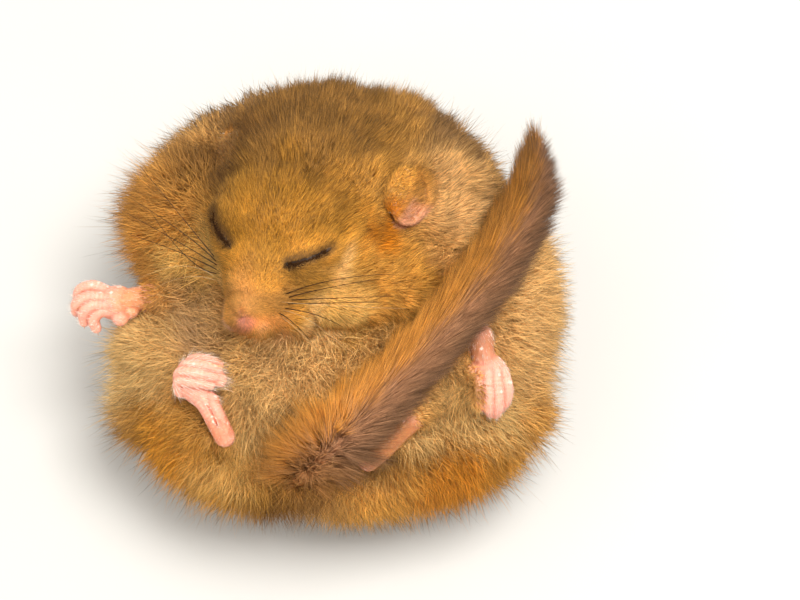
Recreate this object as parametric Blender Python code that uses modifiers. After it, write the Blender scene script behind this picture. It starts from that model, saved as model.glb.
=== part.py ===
"""A hazel dormouse curled up in its winter sleep, life size, lying on its back.

The body is laid out in millimetres in a frame of its own: X to the animal's left, Y from the rump
to the crown, Z from the back to the belly. It lies with the head end raised, on a small flat of
flattened coat. The head has a frame of its own too: X to its left, Y back from the tip of the nose
and Z to the top of the skull. Every solid reaches out to the tips of the coat.
"""

import math
import random

import bmesh
import bpy
from mathutils import Euler, Matrix, Vector

MM = 0.001

# How the curled body lies
HEAD_END_RAISED = math.radians(18)
FLOOR_BELOW_CENTRE = 17.0
GAP = 0.3
CLEARANCE_SHARE = 0.5
BEYOND = 120.0

# Where the tip of the nose is, and how the head is turned from looking along the body
NOSE_TIP = Vector((-9.75, -2.1, 14.5))
HEAD_LEAN = math.radians(27.5)
CHIN_UP = math.radians(26)
HEAD_ROLL = math.radians(20)

# The closed eyes, from the inner corner to the outer one
EYE_INNER = Vector((3.3, 5.6, 4.9))
EYE_OUTER = Vector((6.7, 8.5, 5.4))
LID_WIDTH = 2.2
LID_HEIGHT = 1.4

# The ears, folded back against the head
EAR_LEFT = Vector((10.6, 19.2, 2.9))
EAR_RIGHT = Vector((-11.2, 18.6, -1.6))
EAR_LENGTH = 6.8
EAR_WIDTH = 5.2
EAR_DEPTH = 2.4
EAR_WALL = 0.7

# The tail's centre line from the rump over the belly and round the left shoulder
TAIL_LINE = (
    (-3.9, -19.6, 4.0),
    (-3.4, -18.0, 8.4),
    (0.9, -13.8, 12.7),
    (6.0, -8.6, 14.0),
    (10.3, -4.0, 13.9),
    (14.9, 1.4, 12.4),
    (18.8, 6.9, 9.0),
    (21.3, 12.2, 4.2),
    (22.3, 16.9, -1.4),
)
TAIL_RADII = (2.6, 3.1, 3.4, 3.4, 3.4, 3.4, 3.3, 2.8, 1.0)
TAIL_JOINTS = (0.36, 0.69)
CORE_SHARE = 0.5

# The locks of the tail's coat: rows along it, angles round it from its outer side, and sizes
LOCK_ROWS = 10
LOCK_ANGLES = (-108, -66, -24, 24, 66, 108)
LOCK_REACH = 0.17
LOCK_WIDTH = 2.1
LOCK_THICKNESS = 0.85
LOCK_ROOT = 0.8
LOCK_TIP = 0.12
LOCK_SIDES = 4
LOCK_CUTS = 2
LOCK_SOLVER = "MANIFOLD"
SEED = 11

# The line of the mouth and the nostrils
MOUTH_HEIGHT = -2.35
MOUTH_GAP = 0.5
NOSTRIL = Vector((0.8, 0.15, 0.3))
LID_SLIT = 0.36

FINGER = 0.62
TOE = 0.66


def clear_scene():
    """Starts from an empty file."""
    for obj in list(bpy.data.objects):
        bpy.data.objects.remove(obj, do_unlink=True)


def new_collection(name):
    """A collection of the scene, for the parts or for the cutters."""
    made = bpy.data.collections.new(name)
    bpy.context.scene.collection.children.link(made)
    return made


def material(name, hex_colour, roughness):
    """A plain finish in the part's own colour."""
    made = bpy.data.materials.new(name)
    made.use_nodes = True
    shader = made.node_tree.nodes["Principled BSDF"]
    channels = [int(hex_colour[i : i + 2], 16) / 255 for i in (0, 2, 4)]
    linear = [((c + 0.055) / 1.055) ** 2.4 if c > 0.04045 else c / 12.92 for c in channels]
    shader.inputs["Base Color"].default_value = (*linear, 1.0)
    shader.inputs["Roughness"].default_value = roughness
    return made


def head_frame(point):
    """A point of the head's frame, in the body's frame."""
    return NOSE_TIP + HEAD_TURN @ Vector(point)


def egg(form, centre, radii, turn=(0, 0, 0), fineness=3):
    """Adds one egg of flesh to a form in the body's frame; turn is in degrees about X, Y, Z."""
    rotation = Euler([math.radians(a) for a in turn]).to_matrix().to_4x4()
    place = Matrix.Translation(Vector(centre)) @ rotation @ Matrix.Diagonal((*radii, 1.0))
    bmesh.ops.create_icosphere(form, subdivisions=fineness, radius=1.0, matrix=place)


def head_egg(form, centre, radii, fineness=3):
    """Adds an egg of the head, and its twin on the right side where it is off the middle."""
    sides = (1, -1) if centre[0] else (1,)
    for side in sides:
        place = Matrix.Translation(head_frame((side * centre[0], centre[1], centre[2])))
        place = place @ HEAD_TURN.to_4x4() @ Matrix.Diagonal((*radii, 1.0))
        bmesh.ops.create_icosphere(form, subdivisions=fineness, radius=1.0, matrix=place)


def smooth_line(points, steps):
    """Points of a Catmull-Rom curve through the given ones."""
    line = []
    last = len(points) - 1
    for i in range(last):
        before, start = points[max(i - 1, 0)], points[i]
        end, after = points[i + 1], points[min(i + 2, last)]
        for k in range(steps):
            t = k / steps
            bend = (2 * before - 5 * start + 4 * end - after) * t**2
            twist = (3 * start - before - 3 * end + after) * t**3
            line.append(0.5 * (2 * start + (end - before) * t + bend + twist))
    line.append(points[last])
    return line


def limb(form, points, radii, steps=6, fineness=2):
    """Adds a rounded limb along a smooth line, as a close row of balls."""
    line = smooth_line([Vector(p) for p in points], steps)
    sizes = smooth_line([Vector((r, 0, 0)) for r in radii], steps)
    for centre, size in zip(line, sizes):
        place = Matrix.Translation(centre)
        bmesh.ops.create_icosphere(form, subdivisions=fineness, radius=size.x, matrix=place)


def settled(obj):
    """Applies the object's modifiers to its mesh."""
    graph = bpy.context.evaluated_depsgraph_get()
    graph.update()
    made = bpy.data.meshes.new_from_object(obj.evaluated_get(graph))
    obj.modifiers.clear()
    obj.data = made
    return obj


def placed(name, form, collection):
    """An object of the form's mesh, in the collection."""
    mesh = bpy.data.meshes.new(name)
    form.to_mesh(mesh)
    form.free()
    obj = bpy.data.objects.new(name, mesh)
    collection.objects.link(obj)
    return obj


def sculpt(name, form, finish, triangles, voxel=0.45, rounds=8):
    """Fuses a form's eggs and limbs into one smooth skin of about so many triangles."""
    obj = placed(name, form, PARTS)
    fuse = obj.modifiers.new("fuse", "REMESH")
    fuse.mode = "VOXEL"
    fuse.voxel_size = voxel
    soften = obj.modifiers.new("soften", "SMOOTH")
    soften.factor = 0.5
    soften.iterations = rounds
    settled(obj)
    thinned(obj, min(1.0, triangles / (2 * len(obj.data.polygons))))
    obj.data.materials.clear()
    obj.data.materials.append(finish)
    CLEARANCES[name] = grown(obj, GAP)
    return obj


def grown(obj, by):
    """A cutter: a copy of the object with its surface moved out by the gap."""
    cutter = bpy.data.objects.new(obj.name + "_clearance", obj.data.copy())
    CUTTERS.objects.link(cutter)
    cutter.display_type = "WIRE"
    cutter.hide_render = True
    normals = [v.normal.copy() for v in cutter.data.vertices]
    for vertex, normal in zip(cutter.data.vertices, normals):
        vertex.co += normal * by
    return thinned(cutter, CLEARANCE_SHARE)


def thinned(obj, share):
    """Leaves the given share of the object's triangles."""
    thin = obj.modifiers.new("thin", "DECIMATE")
    thin.ratio = share
    thin.use_collapse_triangulate = True
    return settled(obj)


def keep_largest(obj):
    """Drops the loose scraps that a cut leaves."""
    form = bmesh.new()
    form.from_mesh(obj.data)
    unseen, islands = set(form.verts), []
    while unseen:
        island, front = set(), [unseen.pop()]
        while front:
            vertex = front.pop()
            island.add(vertex)
            for edge in vertex.link_edges:
                other = edge.other_vert(vertex)
                if other in unseen:
                    unseen.discard(other)
                    front.append(other)
        islands.append(island)
    islands.sort(key=len)
    loose = [v for island in islands[:-1] for v in island]
    bmesh.ops.delete(form, geom=loose, context="VERTS")
    form.to_mesh(obj.data)
    form.free()


def carve(obj, cutter, solver="EXACT"):
    """Takes the cutter's shape out of the object."""
    cut = obj.modifiers.new("cut", "BOOLEAN")
    cut.operation = "DIFFERENCE"
    cut.solver = solver
    cut.object = cutter
    settled(obj)


def clear_of(obj, *others, solver="EXACT"):
    """Cuts the object clear of its neighbours, so that they meet face to face."""
    for other in others:
        carve(obj, CLEARANCES[other.name], solver)
    keep_largest(obj)


def carve_form(obj, form, solver="EXACT"):
    """Takes a loose form out of the object and drops the form."""
    cutter = placed("cutter", form, CUTTERS)
    carve(obj, cutter, solver)
    bpy.data.objects.remove(cutter, do_unlink=True)
    keep_largest(obj)


def head():
    """Skull, brows, muzzle, whisker pads, cheeks, jowls and jaw."""
    form = bmesh.new()
    head_egg(form, (0, 2.5, -0.6), (2.7, 2.3, 2.2))
    head_egg(form, (0, 5.4, -0.2), (4.1, 4.4, 3.7))
    head_egg(form, (2.6, 4.7, -1.1), (2.6, 3.1, 2.4))
    head_egg(form, (0, 8.6, 1.7), (5.0, 6.0, 4.7))
    head_egg(form, (4.4, 8.6, 3.0), (3.0, 3.8, 3.1))
    head_egg(form, (5.0, 12.0, 1.4), (4.8, 6.2, 5.2))
    head_egg(form, (0, 13.5, 1.2), (8.4, 8.2, 8.0))
    head_egg(form, (0, 18.4, -0.4), (10.8, 8.6, 9.4))
    head_egg(form, (5.6, 10.6, -2.4), (4.7, 6.6, 4.9))
    head_egg(form, (7.2, 16.0, -3.0), (5.2, 6.8, 6.0))
    head_egg(form, (0, 8.0, -3.9), (3.9, 6.0, 2.6))
    egg(form, (-9.1, -1.3, 13.3), (2.1, 1.8, 1.4))
    egg(form, (-6.4, -1.2, 13.1), (2.6, 1.9, 1.5))
    egg(form, (0.4, 0.8, 10.5), (6.3, 4.3, 3.8))
    egg(form, (5.8, 2.1, 9.1), (6.4, 5.1, 4.0))
    made = sculpt("head", form, GOLDEN, 2200, voxel=0.4, rounds=8)
    carve(made, mouth_line())
    return made


def mouth_line():
    """A cutter for the line of the mouth: a thin flat ring round the front of the muzzle."""
    outer, inner = bmesh.new(), bmesh.new()
    head_egg(outer, (0, 3.0, MOUTH_HEIGHT), (5.6, 4.6, MOUTH_GAP / 2), fineness=2)
    head_egg(inner, (0, 5.6, MOUTH_HEIGHT), (3.6, 3.9, 2.0), fineness=2)
    ring = placed("mouth_line", outer, CUTTERS)
    core = placed("mouth_core", inner, CUTTERS)
    for cutter in (ring, core):
        cutter.display_type = "WIRE"
        cutter.hide_render = True
    carve(ring, core)
    CLEARANCES["mouth_line"] = ring
    CLEARANCES["mouth_core"] = core
    return ring


def nose():
    """The bare nose pad at the tip of the muzzle, with its two nostrils."""
    form = bmesh.new()
    head_egg(form, (0, 1.0, 0.1), (1.7, 1.2, 1.5))
    head_egg(form, (0.95, 1.0, -0.1), (1.15, 1.15, 1.2))
    made = sculpt("nose", form, PINK, 240, voxel=0.2, rounds=2)
    nostrils = bmesh.new()
    head_egg(nostrils, NOSTRIL, (0.4, 0.55, 0.3), fineness=2)
    carve_form(made, nostrils)
    return made


def eye_frame(side):
    """The frame of one closed eye: along the slit, across it and out of the head."""
    inner = head_frame((side * EYE_INNER.x, EYE_INNER.y, EYE_INNER.z))
    outer = head_frame((side * EYE_OUTER.x, EYE_OUTER.y, EYE_OUTER.z))
    along = (outer - inner).normalized()
    out = HEAD_TURN @ Vector((side * 0.62, -0.42, 0.66))
    across = out.cross(along).normalized()
    out = along.cross(across).normalized()
    turn = Matrix((along, across, out)).transposed()
    return (inner + outer) / 2, turn, (outer - inner).length


def eyelids(side, name):
    """The closed lids over one eye: a low bulge with the slit along it."""
    middle, turn, length = eye_frame(side)
    place = Matrix.Translation(middle - turn.col[2] * 0.15) @ turn.to_4x4()
    shape = Matrix.Diagonal((length / 2 + 0.6, LID_WIDTH / 2, LID_HEIGHT / 2, 1.0))
    form = bmesh.new()
    bmesh.ops.create_icosphere(form, subdivisions=3, radius=1.0, matrix=place @ shape)
    made = sculpt(name, form, LID, 130, voxel=0.2, rounds=1)
    slit = bmesh.new()
    place = Matrix.Translation(middle + turn.col[2] * LID_HEIGHT / 2) @ turn.to_4x4()
    shape = Matrix.Diagonal((length / 2, LID_SLIT / 2, LID_HEIGHT / 2, 1.0))
    bmesh.ops.create_icosphere(slit, subdivisions=2, radius=1.0, matrix=place @ shape)
    carve_form(made, slit)
    return made


def ear(name, side, seat):
    """One thin ear folded back against the head, as a shallow cup open to the front."""
    along = HEAD_TURN @ Vector((side * 0.12, 0.86, 0.5))
    out = HEAD_TURN @ Vector((side * 0.86, -0.16, 0.48))
    across = out.cross(along).normalized()
    out = along.cross(across).normalized()
    turn = Matrix((along, across, out)).transposed().to_4x4()
    centre = head_frame(seat)
    radii = Vector((EAR_LENGTH, EAR_WIDTH, EAR_DEPTH)) / 2
    form = bmesh.new()
    place = Matrix.Translation(centre) @ turn @ Matrix.Diagonal((*radii, 1.0))
    bmesh.ops.create_icosphere(form, subdivisions=3, radius=1.0, matrix=place)
    made = sculpt(name, form, PINK, 260, voxel=0.22, rounds=1)
    hollow = bmesh.new()
    lift = Matrix.Translation(centre + turn.to_3x3() @ Vector((-0.5, 0, EAR_WALL + 0.45)))
    inner = radii - Vector((0.75, 0.7, 0.1))
    bmesh.ops.create_icosphere(
        hollow, subdivisions=2, radius=1.0, matrix=lift @ turn @ Matrix.Diagonal((*inner, 1.0))
    )
    carve_form(made, hollow)
    return made


def neck():
    """The thick collar of fur between the head and the shoulders."""
    form = bmesh.new()
    egg(form, (2.0, 5.6, 4.3), (11.2, 9.4, 9.2))
    egg(form, (-1.0, 13.2, 1.8), (13.2, 11.8, 10.4))
    egg(form, (8.0, 10.5, 1.5), (11.0, 10.0, 10.0))
    egg(form, (-10.0, 9.0, 1.5), (8.0, 8.5, 8.5))
    return sculpt("neck", form, GOLDEN, 600)


def torso():
    """The curled trunk: upper back and shoulders, back, flanks, belly and rump."""
    form = bmesh.new()
    egg(form, (-4.0, 7.8, -5.2), (20.4, 17.4, 15.3))
    egg(form, (4.4, 7.6, -4.0), (16.5, 16.3, 14.5))
    egg(form, (1.0, -2.0, -3.0), (22.0, 20.5, 14.4))
    egg(form, (14.8, -0.8, -2.5), (11.2, 15.5, 11.5))
    egg(form, (-14.0, -6.3, -1.2), (11.8, 8.2, 10.4))
    egg(form, (-4.0, -7.0, 3.2), (14.0, 10.5, 9.3))
    egg(form, (9.0, -7.5, 2.0), (11.0, 9.0, 8.6))
    egg(form, (2.2, -15.2, -1.2), (12.5, 10.3, 10.0))
    return sculpt("torso", form, BUFF, 1500, rounds=10)


def arms():
    """The right arm as a lobe beside the head, and the left one passing under the tail."""
    right = bmesh.new()
    egg(right, (-15.6, 9.2, 0.4), (8.8, 8.5, 8.6))
    limb(right, ((-14.0, 5.0, 3.0), (-18.5, 2.3, 4.2), (-20.6, 0.7, 4.4)), (4.2, 3.0, 1.7))
    left = bmesh.new()
    limb(left, ((10.0, 4.0, 6.5), (14.0, 0.5, 8.2), (15.6, -4.4, 8.9)), (3.8, 3.4, 1.9))
    return (
        sculpt("arm_right", right, BUFF, 450),
        sculpt("arm_left", left, GOLDEN, 300, voxel=0.4, rounds=5),
    )


def leg(name, centre, radii, turn, knee):
    """One haunch and knee, folded beside the belly."""
    form = bmesh.new()
    egg(form, centre, radii, turn)
    egg(form, knee, (5.5, 6.4, 5.4))
    return sculpt(name, form, BUFF, 560)


def hand(name, palm, palm_radii, turn, wrist, digits, pads):
    """A forepaw: wrist, palm, four fingers and the stub of the thumb."""
    form = bmesh.new()
    limb(form, wrist, (1.55, 1.35, 1.2))
    egg(form, palm, palm_radii, turn, fineness=2)
    for points in digits:
        limb(form, points, (FINGER + 0.1,) + (FINGER,) * (len(points) - 2) + (FINGER - 0.12,), 5)
    for centre, radius in pads:
        egg(form, centre, (radius,) * 3, fineness=2)
    return sculpt(name, form, PINK, 620, voxel=0.2, rounds=2)


def forepaws():
    """Both forepaws: the right one stretched out sideways, the left one hanging from its wrist."""
    right = hand(
        "forepaw_right",
        (-24.0, -0.1, 4.3),
        (2.3, 1.9, 1.4),
        (0, 0, 12),
        ((-20.9, 0.5, 4.4), (-22.0, 0.3, 4.4), (-23.2, 0.1, 4.4)),
        (
            ((-24.6, 0.9, 4.2), (-26.4, 1.7, 4.3), (-27.9, 1.3, 3.7), (-28.4, 0.5, 3.0)),
            ((-24.8, 0.3, 4.8), (-26.9, 0.5, 5.0), (-28.2, -0.2, 4.5), (-28.4, -1.1, 3.8)),
            ((-24.6, -0.4, 4.9), (-26.4, -0.4, 5.2), (-27.4, -1.2, 4.8), (-27.5, -2.2, 4.1)),
            ((-24.4, -1.0, 4.7), (-25.7, -1.1, 5.0), (-26.4, -1.9, 4.7), (-26.2, -2.9, 4.0)),
        ),
        (((-23.5, -1.7, 4.6), 1.0), ((-22.4, -0.9, 4.5), 1.0)),
    )
    left = hand(
        "forepaw_left",
        (16.5, -7.1, 9.6),
        (1.9, 1.7, 1.2),
        (0, 0, 0),
        ((15.7, -4.9, 9.2), (15.9, -5.7, 9.4), (16.2, -6.5, 9.5)),
        (
            ((15.6, -7.6, 9.9), (15.4, -9.3, 10.2), (15.5, -10.6, 9.8), (15.9, -11.2, 9.2)),
            ((16.4, -7.6, 10.2), (16.4, -9.6, 10.4), (16.5, -11.1, 9.9), (16.7, -11.9, 9.1)),
            ((17.2, -7.5, 10.1), (17.4, -9.6, 10.2), (17.4, -11.2, 9.7), (17.3, -12.0, 8.9)),
            ((17.9, -7.3, 9.7), (18.4, -9.0, 9.8), (18.3, -10.4, 9.3), (17.9, -11.3, 8.5)),
        ),
        (((14.6, -7.6, 9.4), 0.95), ((15.3, -7.0, 9.4), 0.9)),
    )
    return right, left


def foot(name, sole, sole_radii, digits, pads):
    """A hind foot: heel, narrow sole and five curled toes."""
    form = bmesh.new()
    limb(form, sole, sole_radii, 6)
    for points in digits:
        limb(form, points, (TOE,) * (len(points) - 1) + (TOE - 0.14,), 5)
    for centre, radius in pads:
        egg(form, centre, (radius,) * 3, fineness=2)
    return sculpt(name, form, PINK, 600, voxel=0.2, rounds=2)


def hind_feet():
    """Both hind feet with the soles up: toes of the right one curled over, the left one's hidden."""
    right = foot(
        "hind_foot_right",
        ((-11.4, -14.9, 9.6), (-12.3, -13.0, 10.2), (-13.6, -10.6, 10.4), (-15.2, -8.6, 10.0)),
        (1.45, 1.5, 1.5, 1.7),
        (
            ((-16.4, -9.6, 10.4), (-16.4, -8.4, 11.2), (-14.8, -8.5, 11.9), (-13.1, -8.8, 11.6)),
            ((-16.6, -8.8, 10.2), (-16.3, -7.5, 11.2), (-14.4, -7.6, 12.0), (-12.6, -8.0, 11.6)),
            ((-16.4, -8.2, 9.9), (-15.8, -6.8, 10.9), (-14.0, -6.8, 11.6), (-12.3, -7.3, 11.3)),
            ((-16.0, -7.8, 9.6), (-15.2, -6.3, 10.4), (-13.6, -6.2, 10.9), (-12.2, -6.7, 10.7)),
            ((-14.2, -9.8, 10.6), (-12.9, -10.3, 11.0), (-12.6, -11.0, 10.7)),
        ),
        (((-12.1, -8.3, 11.1), 0.8),),
    )
    left = foot(
        "hind_foot_left",
        ((3.6, -17.0, 9.3), (5.0, -15.7, 10.0), (6.8, -13.8, 10.1), (8.6, -12.0, 9.8)),
        (1.3, 1.4, 1.4, 1.55),
        (
            ((8.4, -12.6, 9.8), (9.8, -11.6, 10.1), (10.7, -11.1, 9.3)),
            ((8.6, -12.0, 9.9), (9.9, -10.8, 10.3), (11.0, -10.2, 9.5)),
            ((8.3, -11.4, 9.9), (9.4, -10.2, 10.3), (10.6, -9.5, 9.5)),
        ),
        (),
    )
    return right, left


def tail_frame(share):
    """The tail's centre, direction, outer side, left side and coat radius at a share of it."""
    at = share * (len(TAIL) - 1)
    i = min(int(at), len(TAIL) - 2)
    centre = TAIL[i].lerp(TAIL[i + 1], at - i)
    radius = TAIL_SIZES[i].lerp(TAIL_SIZES[i + 1], at - i).x
    along = (TAIL[min(i + 2, len(TAIL) - 1)] - TAIL[max(i - 1, 0)]).normalized()
    out = (centre - along * centre.dot(along)).normalized()
    return centre, along, out, along.cross(out), radius


def lock(start, angle, reach, width, lift):
    """One flat, tapered lock of hair that leaves the tail's core and bends along it."""
    form = bmesh.new()
    bmesh.ops.create_cone(
        form, cap_ends=True, segments=LOCK_SIDES, radius1=1.0, radius2=1.0, depth=1.0
    )
    long_edges = [e for e in form.edges if abs(e.verts[0].co.z - e.verts[1].co.z) > 0.5]
    bmesh.ops.subdivide_edges(form, edges=long_edges, cuts=LOCK_CUTS)
    for vertex in form.verts:
        t = vertex.co.z + 0.5
        centre, along, out, left, radius = tail_frame(min(start + t * reach, 1.0))
        away = out * math.cos(angle) + left * math.sin(angle)
        taper = min(0.6 + 1.6 * t, 1.0 - max(0.0, (t - 0.25) / 0.75) ** 1.7) + LOCK_TIP * t
        distance = LOCK_ROOT + (radius * lift - LOCK_ROOT) * math.sin(t * math.pi / 2)
        across = away.cross(along)
        half = width / 2 * taper
        thick = LOCK_THICKNESS / 2 * taper
        vertex.co = centre + away * (distance + vertex.co.y * thick) + across * vertex.co.x * half
    return form


def tail_lengths():
    """The bushy tail: a core with its locks, parted into three lengths by cuts across it."""
    form = bmesh.new()
    for centre, size in zip(TAIL, TAIL_SIZES):
        place = Matrix.Translation(centre)
        bmesh.ops.create_icosphere(form, subdivisions=2, radius=size.x * CORE_SHARE, matrix=place)
    tail = sculpt("tail", form, BROWN, 200, voxel=0.35, rounds=3)
    locks = new_collection("tail_locks")
    dice = random.Random(SEED)
    for row in range(LOCK_ROWS):
        for k, degrees in enumerate(LOCK_ANGLES):
            start = (row + 0.5 * (k % 2)) / LOCK_ROWS * (1 - LOCK_REACH * 0.9)
            start = max(0.0, start + dice.uniform(-0.008, 0.008))
            reach = min(LOCK_REACH * dice.uniform(0.9, 1.15), 1.0 - start)
            angle = math.radians(degrees + dice.uniform(-9, 9))
            width = LOCK_WIDTH * dice.uniform(0.85, 1.15)
            blade = lock(start, angle, reach, width, dice.uniform(0.9, 1.04))
            piece = placed("lock", blade, locks)
            piece.display_type = "WIRE"
            piece.hide_render = True
    join = tail.modifiers.new("join", "BOOLEAN")
    join.operation = "UNION"
    join.operand_type = "COLLECTION"
    join.collection = locks
    join.solver = LOCK_SOLVER
    settled(tail)
    keep_largest(tail)
    for piece in list(locks.objects):
        bpy.data.objects.remove(piece, do_unlink=True)
    bpy.data.collections.remove(locks)
    last = len(TAIL) - 1
    joints = [0] + [round(share * last) for share in TAIL_JOINTS] + [last]
    made = []
    for k, name in enumerate(("tail_root", "tail_middle", "tail_end")):
        obj = bpy.data.objects.new(name, tail.data.copy())
        PARTS.objects.link(obj)
        for at, side in ((joints[k], -1), (joints[k + 1], 1)):
            if 0 < at < last:
                across = (TAIL[at + 1] - TAIL[at - 1]).normalized() * side
                trim(obj, TAIL[at] - across * GAP / 2, across, LOCK_SOLVER)
        made.append(obj)
    bpy.data.objects.remove(tail, do_unlink=True)
    return made


def trim(obj, point, normal, solver="EXACT"):
    """Cuts away what lies beyond a plane, leaving a flat face."""
    turn = normal.to_track_quat("Z", "Y").to_matrix().to_4x4()
    place = Matrix.Translation(point + normal * BEYOND / 2) @ turn
    form = bmesh.new()
    bmesh.ops.create_cube(form, size=BEYOND, matrix=place)
    carve_form(obj, form, solver)


clear_scene()
PARTS = new_collection("hazel_dormouse")
CUTTERS = new_collection("cutters")
CLEARANCES = {}
GOLDEN = material("golden_fur", "B5762F", 0.9)
BUFF = material("buff_fur", "D39A4E", 0.9)
BROWN = material("tail_fur", "8F5F38", 0.9)
PINK = material("bare_skin", "D9978A", 0.55)
LID = material("lid_rim", "4A3426", 0.7)
HEAD_TURN = (
    Matrix.Rotation(-HEAD_LEAN, 3, "Z")
    @ Matrix.Rotation(-CHIN_UP, 3, "X")
    @ Matrix.Rotation(-HEAD_ROLL, 3, "Y")
)

TAIL = smooth_line([Vector(p) for p in TAIL_LINE], 8)
TAIL_SIZES = smooth_line([Vector((r, 0, 0)) for r in TAIL_RADII], 8)

HEAD = head()
NOSE = nose()
LIDS = [eyelids(1, "eyelids_left"), eyelids(-1, "eyelids_right")]
EARS = [ear("ear_left", 1, EAR_LEFT), ear("ear_right", -1, EAR_RIGHT)]
NECK = neck()
TORSO = torso()
ARM_R, ARM_L = arms()
LEG_R = leg("leg_right", (-12, -13.8, -1), (14, 9.4, 9.8), (0, 0, -33), (-20.5, -11, 0))
LEG_L = leg("leg_left", (11.5, -14.6, -2), (13.2, 9.1, 9.6), (0, 0, 22), (19.5, -11.8, -1))
PAW_R, PAW_L = forepaws()
FOOT_R, FOOT_L = hind_feet()
TAIL_ROOT, TAIL_MIDDLE, TAIL_END = tail_lengths()

clear_of(HEAD, NOSE, *LIDS, *EARS)
clear_of(NECK, HEAD, *EARS)
clear_of(ARM_R, PAW_R, NECK, HEAD)
clear_of(ARM_L, PAW_L, NECK, HEAD)
clear_of(LEG_R, FOOT_R)
clear_of(LEG_L, LEG_R, FOOT_L, PAW_L)
clear_of(TORSO, HEAD, NECK, *EARS, ARM_R, ARM_L, LEG_R, LEG_L, FOOT_R, FOOT_L, PAW_R, PAW_L)
for length in (TAIL_ROOT, TAIL_MIDDLE, TAIL_END):
    clear_of(length, HEAD, NECK, TORSO, ARM_L, LEG_L, LEG_R, FOOT_L, PAW_L, solver=LOCK_SOLVER)

for cutter in CLEARANCES.values():
    bpy.data.objects.remove(cutter, do_unlink=True)

FLOOR_UP = Vector((0, math.sin(HEAD_END_RAISED), math.cos(HEAD_END_RAISED)))
for part in PARTS.objects:
    if min(v.co @ FLOOR_UP for v in part.data.vertices) < -FLOOR_BELOW_CENTRE:
        trim(part, -FLOOR_UP * FLOOR_BELOW_CENTRE, -FLOOR_UP)
    part.data.transform(Matrix.Scale(MM, 4))
    part.data.shade_smooth()
    part.rotation_euler = (HEAD_END_RAISED, 0, 0)
    part.location = (0, 0, FLOOR_BELOW_CENTRE * MM)

bpy.context.view_layer.update()
corners = [part.matrix_world @ v.co for part in PARTS.objects for v in part.data.vertices]
middle = Vector([(max(c[i] for c in corners) + min(c[i] for c in corners)) / 2 for i in (0, 1)] + [0])
for part in PARTS.objects:
    part.location -= middle
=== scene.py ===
"""A hazel dormouse asleep for the winter, curled up on its back, with its coat, lids and whiskers.

Shapes are worked out in millimetres in the animal's own frame: X to its left, Y from the rump to
the crown and Z from the back to the belly. The head has a frame of its own: X to its left, Y back
from the tip of the nose and Z to the top of the skull. Each finished mesh is laid in place last.
"""

from math import cos, pi, radians, sin

import bmesh
import bpy
import numpy as np
from mathutils import Matrix, Vector


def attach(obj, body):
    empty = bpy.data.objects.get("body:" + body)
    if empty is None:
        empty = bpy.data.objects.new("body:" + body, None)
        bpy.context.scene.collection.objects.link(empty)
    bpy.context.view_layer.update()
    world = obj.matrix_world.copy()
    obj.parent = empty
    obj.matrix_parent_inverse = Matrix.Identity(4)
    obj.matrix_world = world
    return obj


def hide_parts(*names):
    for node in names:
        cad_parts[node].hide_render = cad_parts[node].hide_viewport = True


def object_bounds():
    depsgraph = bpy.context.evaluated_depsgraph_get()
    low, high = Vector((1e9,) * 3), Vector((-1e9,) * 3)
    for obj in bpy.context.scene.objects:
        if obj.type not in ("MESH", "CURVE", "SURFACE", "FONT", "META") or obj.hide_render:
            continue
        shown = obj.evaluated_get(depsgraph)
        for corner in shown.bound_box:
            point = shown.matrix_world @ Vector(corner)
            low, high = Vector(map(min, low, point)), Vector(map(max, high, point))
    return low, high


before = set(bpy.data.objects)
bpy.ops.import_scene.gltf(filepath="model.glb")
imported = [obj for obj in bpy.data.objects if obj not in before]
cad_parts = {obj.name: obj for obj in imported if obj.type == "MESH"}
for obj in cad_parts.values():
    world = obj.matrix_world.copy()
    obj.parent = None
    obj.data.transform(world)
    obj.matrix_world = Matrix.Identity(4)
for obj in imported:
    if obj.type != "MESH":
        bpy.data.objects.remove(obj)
CAD_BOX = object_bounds()

# How the animal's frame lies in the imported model
MM = 0.001
HEAD_END_RAISED = radians(18)
MIDDLE = Vector((0.0014678, -0.0009193, 0.017))
LYING = Matrix.Translation(MIDDLE) @ Matrix.Rotation(HEAD_END_RAISED, 4, "X") @ Matrix.Scale(MM, 4)

# How high the lowest hair lies, and how far hair may reach past the solids, in metres
FLOOR = 0.00003
STRAY = 0.0007

# How the head is turned, and its landmarks in its own frame
NOSE_TIP = Vector((-9.75, -2.1, 14.5))
HEAD_TURN = (
    Matrix.Rotation(radians(-27.5), 3, "Z")
    @ Matrix.Rotation(radians(-26), 3, "X")
    @ Matrix.Rotation(radians(-20), 3, "Y")
)
EYE_INNER = Vector((3.55, 5.25, 4.8))
EYE_OUTER = Vector((7.05, 8.1, 5.2))
EAR_LEFT = Vector((10.6, 19.2, 2.9))
EAR_RIGHT = Vector((-11.2, 18.6, -1.6))

# How deep the coat is, and how that grows with each millimetre from the nose
COAT = 2.5
COAT_AT_NOSE = 0.3
COAT_GAIN = 0.1

# How far the flesh is swelled to fill its dips, and the voxels that fuse it
HEAD_FILL = 1.8
BODY_FILL = 1.2
FLESH_VOXEL = 0.36
FINE_VOXEL = 0.12
FINGER = 0.72
TOE = 0.66

# The tail's middle from root to tip, its radius there with its hair, and its core's share of that
TAIL_LINE = (
    (-3.9, -19.6, 4.0),
    (-3.4, -18.0, 8.4),
    (0.9, -13.8, 12.7),
    (6.0, -8.6, 14.0),
    (10.3, -4.0, 13.9),
    (14.9, 1.4, 12.4),
    (18.8, 6.9, 9.0),
    (21.3, 12.2, 4.2),
    (22.3, 16.9, -1.4),
)
TAIL_RADII = (2.6, 3.1, 3.4, 3.4, 3.4, 3.4, 3.3, 2.8, 1.0)
TAIL_CORE = 0.42
TAIL_BARE = 0.07

# Which way the body's hair is combed round the root of the tail
ROOT_COMB = (0.75, -0.65, 0.15)

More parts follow.
